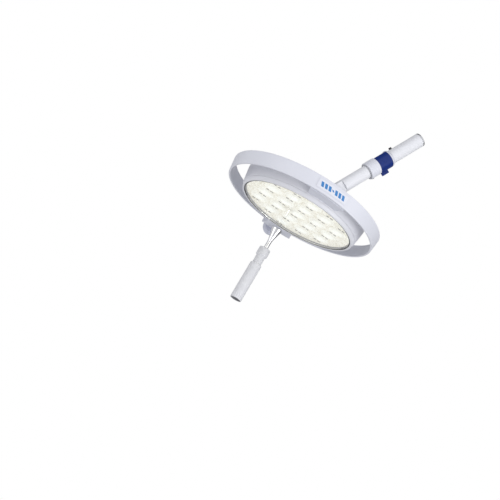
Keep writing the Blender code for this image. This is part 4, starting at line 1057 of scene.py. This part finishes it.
    def build_label(self) -> None:
        """Builds the curved plate outside the ring, with a generic mark of slanted bars."""
        (high, low), (inner, outer) = self.label_heights, self.label_proud
        corners = [(high, outer, 0.4), (low, outer, 0.4), (low, inner, 0), (high, inner, 0)]
        section = [(self.ring_outside(z) + proud, z, edge) for z, proud, edge in corners]
        plate = revolved(rounded(section), 48, self.label_span).placed(self.layout.lamp)
        self.stand_in("label_plate", plate, crease=50)
        rows = [self.middle_bar, *((start, *self.long_bar) for start in self.bar_starts)]
        mark = Surface.joined([self.bar(*row) for row in sorted(rows)]).placed(self.layout.lamp)
        self.add("label_mark", mark, PRINT, "grey_shell")

    def bar(self, start: float, width: float, low: float, high: float) -> Surface:
        """A thin slanted bar that follows the label.

        arc = start + width u + slant (v - 1/2), height = low + (high - low) v.

        Args:
            start: Arc from the middle of the label to the bar.
            width: The bar's width.
            low: Its lower height.
            high: Its upper height.

        Returns:
            The closed surface.
        """
        arc_radius = 173
        u, v = np.meshgrid(np.linspace(0, 1, 17), np.linspace(0, 1, 5), indexing="ij")
        height = low + (high - low) * v
        angle = math.pi - (start + width * u + self.mark_slant * (v - 0.5)) / arc_radius
        layers = []
        for proud in self.mark_proud:
            radius = self.ring_outside(height) + proud
            layer = np.stack([radius * np.cos(angle), radius * np.sin(angle), height], axis=-1)
            layers.append(layer.reshape(-1, 3))
        n = np.arange(u.size).reshape(u.shape)
        rim = np.concatenate([n[:, 0], n[-1, 1:], n[-2::-1, -1], n[0, -2::-1]])
        after = np.roll(rim, -1)
        sides = np.stack([rim, after, after + u.size, rim + u.size], axis=-1)
        faces = np.concatenate([quads_of(n)[:, ::-1], quads_of(n) + u.size, sides])
        return Surface(np.concatenate(layers), [tuple(face) for face in faces.tolist()])

    def build_neck(self) -> None:
        """Builds the chrome neck: a flare, radius = shaft + flare (1 - t)^power, and the shaft."""
        share = np.linspace(0, 1, 40)
        radius = self.shaft_radius + self.flare * (1 - share) ** self.flare_power
        flare = np.stack([radius, -0.3 - self.flare_length * share], axis=-1)
        outline = refined(np.concatenate([self.neck_head, flare, self.neck_tail]), 6)
        self.stand_in("handle_neck", revolved(outline, 96).placed(self.layout.handle))

    def build_pod(self) -> None:
        """Builds the round control housing and its face plate with eleven printed ticks."""
        axis = self.layout.dial
        self.stand_in("control_pod", revolved(rounded(self.pod), 96).placed(axis))
        plate = ring_of(16.0, 3.3, self.pod_face - 2.2, self.pod_face, 0.2)
        self.stand_in("pod_plate", plate.placed(axis))
        tick = superbox(self.tick, 0.3, 8).placed(shift(self.tick_radius, 0, self.pod_face))
        ticks = [tick.placed(turn("Z", self.first_tick + self.tick_step * i)) for i in range(11)]
        self.add("pod_ticks", Surface.joined(ticks).placed(axis), PRINT_GREY, "white_shell")


@dataclass
class Grip(Assembly):
    """The pull-off grip sleeve and its end cap."""

    body: str = "grip"
    top: float = -52.3
    low: float = -184.3
    radius: float = 13.4
    collar: float = 13.25
    waist: float = 10.5
    bore: float = 8.0
    rib_depth: float = 0.06
    cap: Profile = (
        (0, 4, 0), (11.8, 4, 0.2), (11.8, 0.4, 0.8), (5, 0.4, 1.5), (3.5, 1.4, 1), (0, 1.4, 0),
    )

    def build(self) -> None:
        """Builds the sleeve with its fine crossed ribs, and the end cap."""
        top, low = self.top, self.low
        corners = [
            (self.bore, top, 0.4), (self.collar, top, 1.6), (self.collar, top - 18.6, 1.4),
            (self.waist, top - 19.4, 0.8), (self.waist, top - 39.5, 1.0),
            (self.radius, top - 41.2, 1.2), (self.radius, low, 1.4), (12.1, low, 0.2),
            (12.1, low + 4.3, 0), (self.bore, low + 4.3, 0),
        ]
        sleeve = revolved(refined(rounded(corners), 1.1), 144, swell=self.ribs)
        self.stand_in("grip_sleeve", sleeve.placed(self.layout.handle))
        cap = [(radius, low + height, edge) for radius, height, edge in self.cap]
        self.stand_in("grip_end_cap", revolved(rounded(cap), 96).placed(self.layout.handle))

    def ribs(self, radius: Grid, height: Grid, angle: Grid) -> Grid:
        """Cuts crossed diagonal ribs: the product of the cosines of two opposite spirals."""
        above = np.clip((self.top - 44 - height) / 4, 0, 1)
        mask = above * np.clip((height - self.low - 6) / 4, 0, 1)
        crossed = np.cos(12 * angle + height * 0.9) * np.cos(12 * angle - height * 0.9)
        return radius - self.rib_depth * np.where(radius > 13, mask, 0) * (0.5 + 0.5 * crossed)


@dataclass
class Dial(Assembly):
    """The dimmer knob with its fluted edge and its pointer. Heights count outwards on its axis."""

    body: str = "dial"
    knob: Profile = (
        (0, 198.8, 0), (12.9, 198.8, 1.2), (14.4, 197.3, 1.0), (15, 190.3, 0.5),
        (3.3, 190.3, 0.2), (3.3, 196.3, 0), (0, 196.3, 0),
    )
    front: float = 198.8
    flutes: int = 24
    flute_depth: float = 0.35
    pointer_at: float = 8.0

    def build(self) -> None:
        """Builds the knob and the pointer line in its groove."""
        axis = self.layout.dial
        surface = revolved(refined(rounded(self.knob), 0.8), 240, swell=self.fluted)
        knob = self.stand_in("dimmer_knob", surface.placed(axis))
        pointer = axis @ shift(self.pointer_at, 0, self.front)
        carve(knob, superbox((6, 1.4, 1.6), 0.3, 12).placed(pointer))
        line = superbox((5.6, 1.1, 0.4), 0.3, 10).placed(pointer @ shift(0, 0, -0.65))
        self.add("dial_pointer", line, PRINT, "white_shell")

    def fluted(self, radius: Grid, height: Grid, angle: Grid) -> Grid:
        """Hollows the edge: the radius drops by the flute depth times (1 + cos of 24 a) / 2."""
        wave = 0.5 + 0.5 * np.cos(self.flutes * angle)
        return radius - np.where(radius > 14, self.flute_depth * wave, 0)


# ---- studio


@dataclass
class Studio:
    """The pale floor, the soft light and the camera.

    lights are rows of name, distance back, right and up from the target in metres, size and power.
    world_stops are rows of direction, from 0 behind the camera to 1 ahead of it, and brightness.
    """

    camera_at: Triple = (-2.16095, 0.08703, -1.18978)
    right: Triple = (-0.304242, -0.503407, 0.808714)
    up: Triple = (-0.129611, 0.862940, 0.488401)
    forward: Triple = (0.943736, -0.043774, 0.327789)
    lens_mm: float = 85.47
    sensor_mm: float = 36.0
    floor_z: float = -2.2
    floor_side: float = 40.0
    target: Triple = (0.15, 0.0, -0.25)
    lights: tuple[tuple[str, float, float, float, float, float], ...] = (
        ("key", 1.1, 1.3, -0.9, 0.8, 13), ("fill", 1.2, -1.2, 1.0, 1.4, 8),
    )
    world_stops: tuple[Pair, ...] = (
        (0.0, 0.35), (0.04, 1.0), (0.25, 1.0), (0.4, 0.3), (0.6, 0.2), (0.9, 0.22), (1.0, 0.5),
    )
    world_blue: float = 1.03
    world_strength: float = 1.22

    def build(self) -> None:
        """Builds floor, world, lights and camera."""
        self.build_floor()
        self.build_world()
        self.build_camera()
        self.build_lights()
        bpy.context.scene.view_settings.view_transform = "Standard"

    def build_floor(self) -> None:
        """Builds a wide pale floor under the light and the camera."""
        side, corners = self.floor_side, ((-1, -1), (1, -1), (1, 1), (-1, 1))
        points = np.array([(x * side, y * side, self.floor_z) for x, y in corners]) / MM
        floor = make_object("studio_floor", Surface(points, [(0, 1, 2, 3)]))
        floor.data.materials.append(FLOOR_PAINT.build())

    def build_world(self) -> None:
        """Builds a world that is white to the camera.

        For light and reflections it is bright behind the camera and dimmer to the sides.
        """
        world = bpy.data.worlds.new("studio")
        world.use_nodes = True
        bpy.context.scene.world = world
        tree = world.node_tree
        tree.nodes.remove(tree.nodes["Background"])
        way = add_node(tree, "TexCoord").outputs["Generated"]
        dot = add_node(tree, "VectorMath", {0: way, 1: self.forward}, operation="DOT_PRODUCT")
        along = dot.outputs["Value"]
        spread = add_node(tree, "MapRange", {"Value": along, "From Min": -1.0, "From Max": 1.0})
        stops = [
            (position, (value, value, value * self.world_blue, 1.0))
            for position, value in self.world_stops
        ]
        ramp = add_node(tree, "ValToRGB", {"Fac": spread.outputs["Result"]}, stops)
        soft = add_node(tree, "Background", {
            "Color": ramp.outputs["Color"], "Strength": self.world_strength,
        })
        white = add_node(tree, "Background", {"Color": (1, 1, 1, 1), "Strength": 1.0})
        seen = add_node(tree, "LightPath").outputs["Is Camera Ray"]
        mix = add_node(tree, "MixShader", {0: seen, 1: soft.outputs[0], 2: white.outputs[0]})
        wire(tree, tree.nodes["World Output"], {"Surface": mix.outputs[0]})

    def build_lights(self) -> None:
        """Builds the square soft lights, each facing the target."""
        right, up, forward = (Vector(v) for v in (self.right, self.up, self.forward))
        target = Vector(self.target)
        for name, back, aside, above, size, power in self.lights:
            lamp = bpy.data.lights.new(name, "AREA")
            lamp.energy, lamp.size = power, size
            light = bpy.data.objects.new(name, lamp)
            light.location = target - forward * back + right * aside + up * above
            light.rotation_euler = (target - light.location).to_track_quat("-Z", "Y").to_euler()
            bpy.context.scene.collection.objects.link(light)

    def build_camera(self) -> None:
        """Builds the camera, low in front of the light and turned on its side."""
        camera = bpy.data.cameras.new("camera")
        camera.lens, camera.sensor_width = self.lens_mm, self.sensor_mm
        camera.clip_end = 50.0
        holder = bpy.data.objects.new("camera", camera)
        matrix = Matrix((self.right, self.up, -Vector(self.forward))).transposed().to_4x4()
        matrix.translation = Vector(self.camera_at)
        holder.matrix_world = matrix
        bpy.context.scene.collection.objects.link(holder)
        bpy.context.scene.camera = holder


def dress_cad_nodes() -> None:
    """Gives each CAD node its finish."""
    for node in SLOTS:
        materials = frame["nodes"][node].data.materials
        materials.clear()
        materials.append(finish_of(node).build())


def main() -> None:
    """Builds the looks of the whole light."""
    logging.basicConfig(level=logging.INFO, format="%(message)s")
    tilt = next(joint for joint in frame["joints"] if joint["name"] == "head_tilt")
    layout = Layout(reach=-tilt["pos_m"][2] / MM)
    dress_cad_nodes()
    for assembly in (Arm, Clip, Stem, Head, Grip, Dial):
        built = assembly(layout)
        built.build()
        LOG.info("%s: %d pieces", built.body, len(built.made))
    Studio().build()


if __name__ == "__main__":
    main()
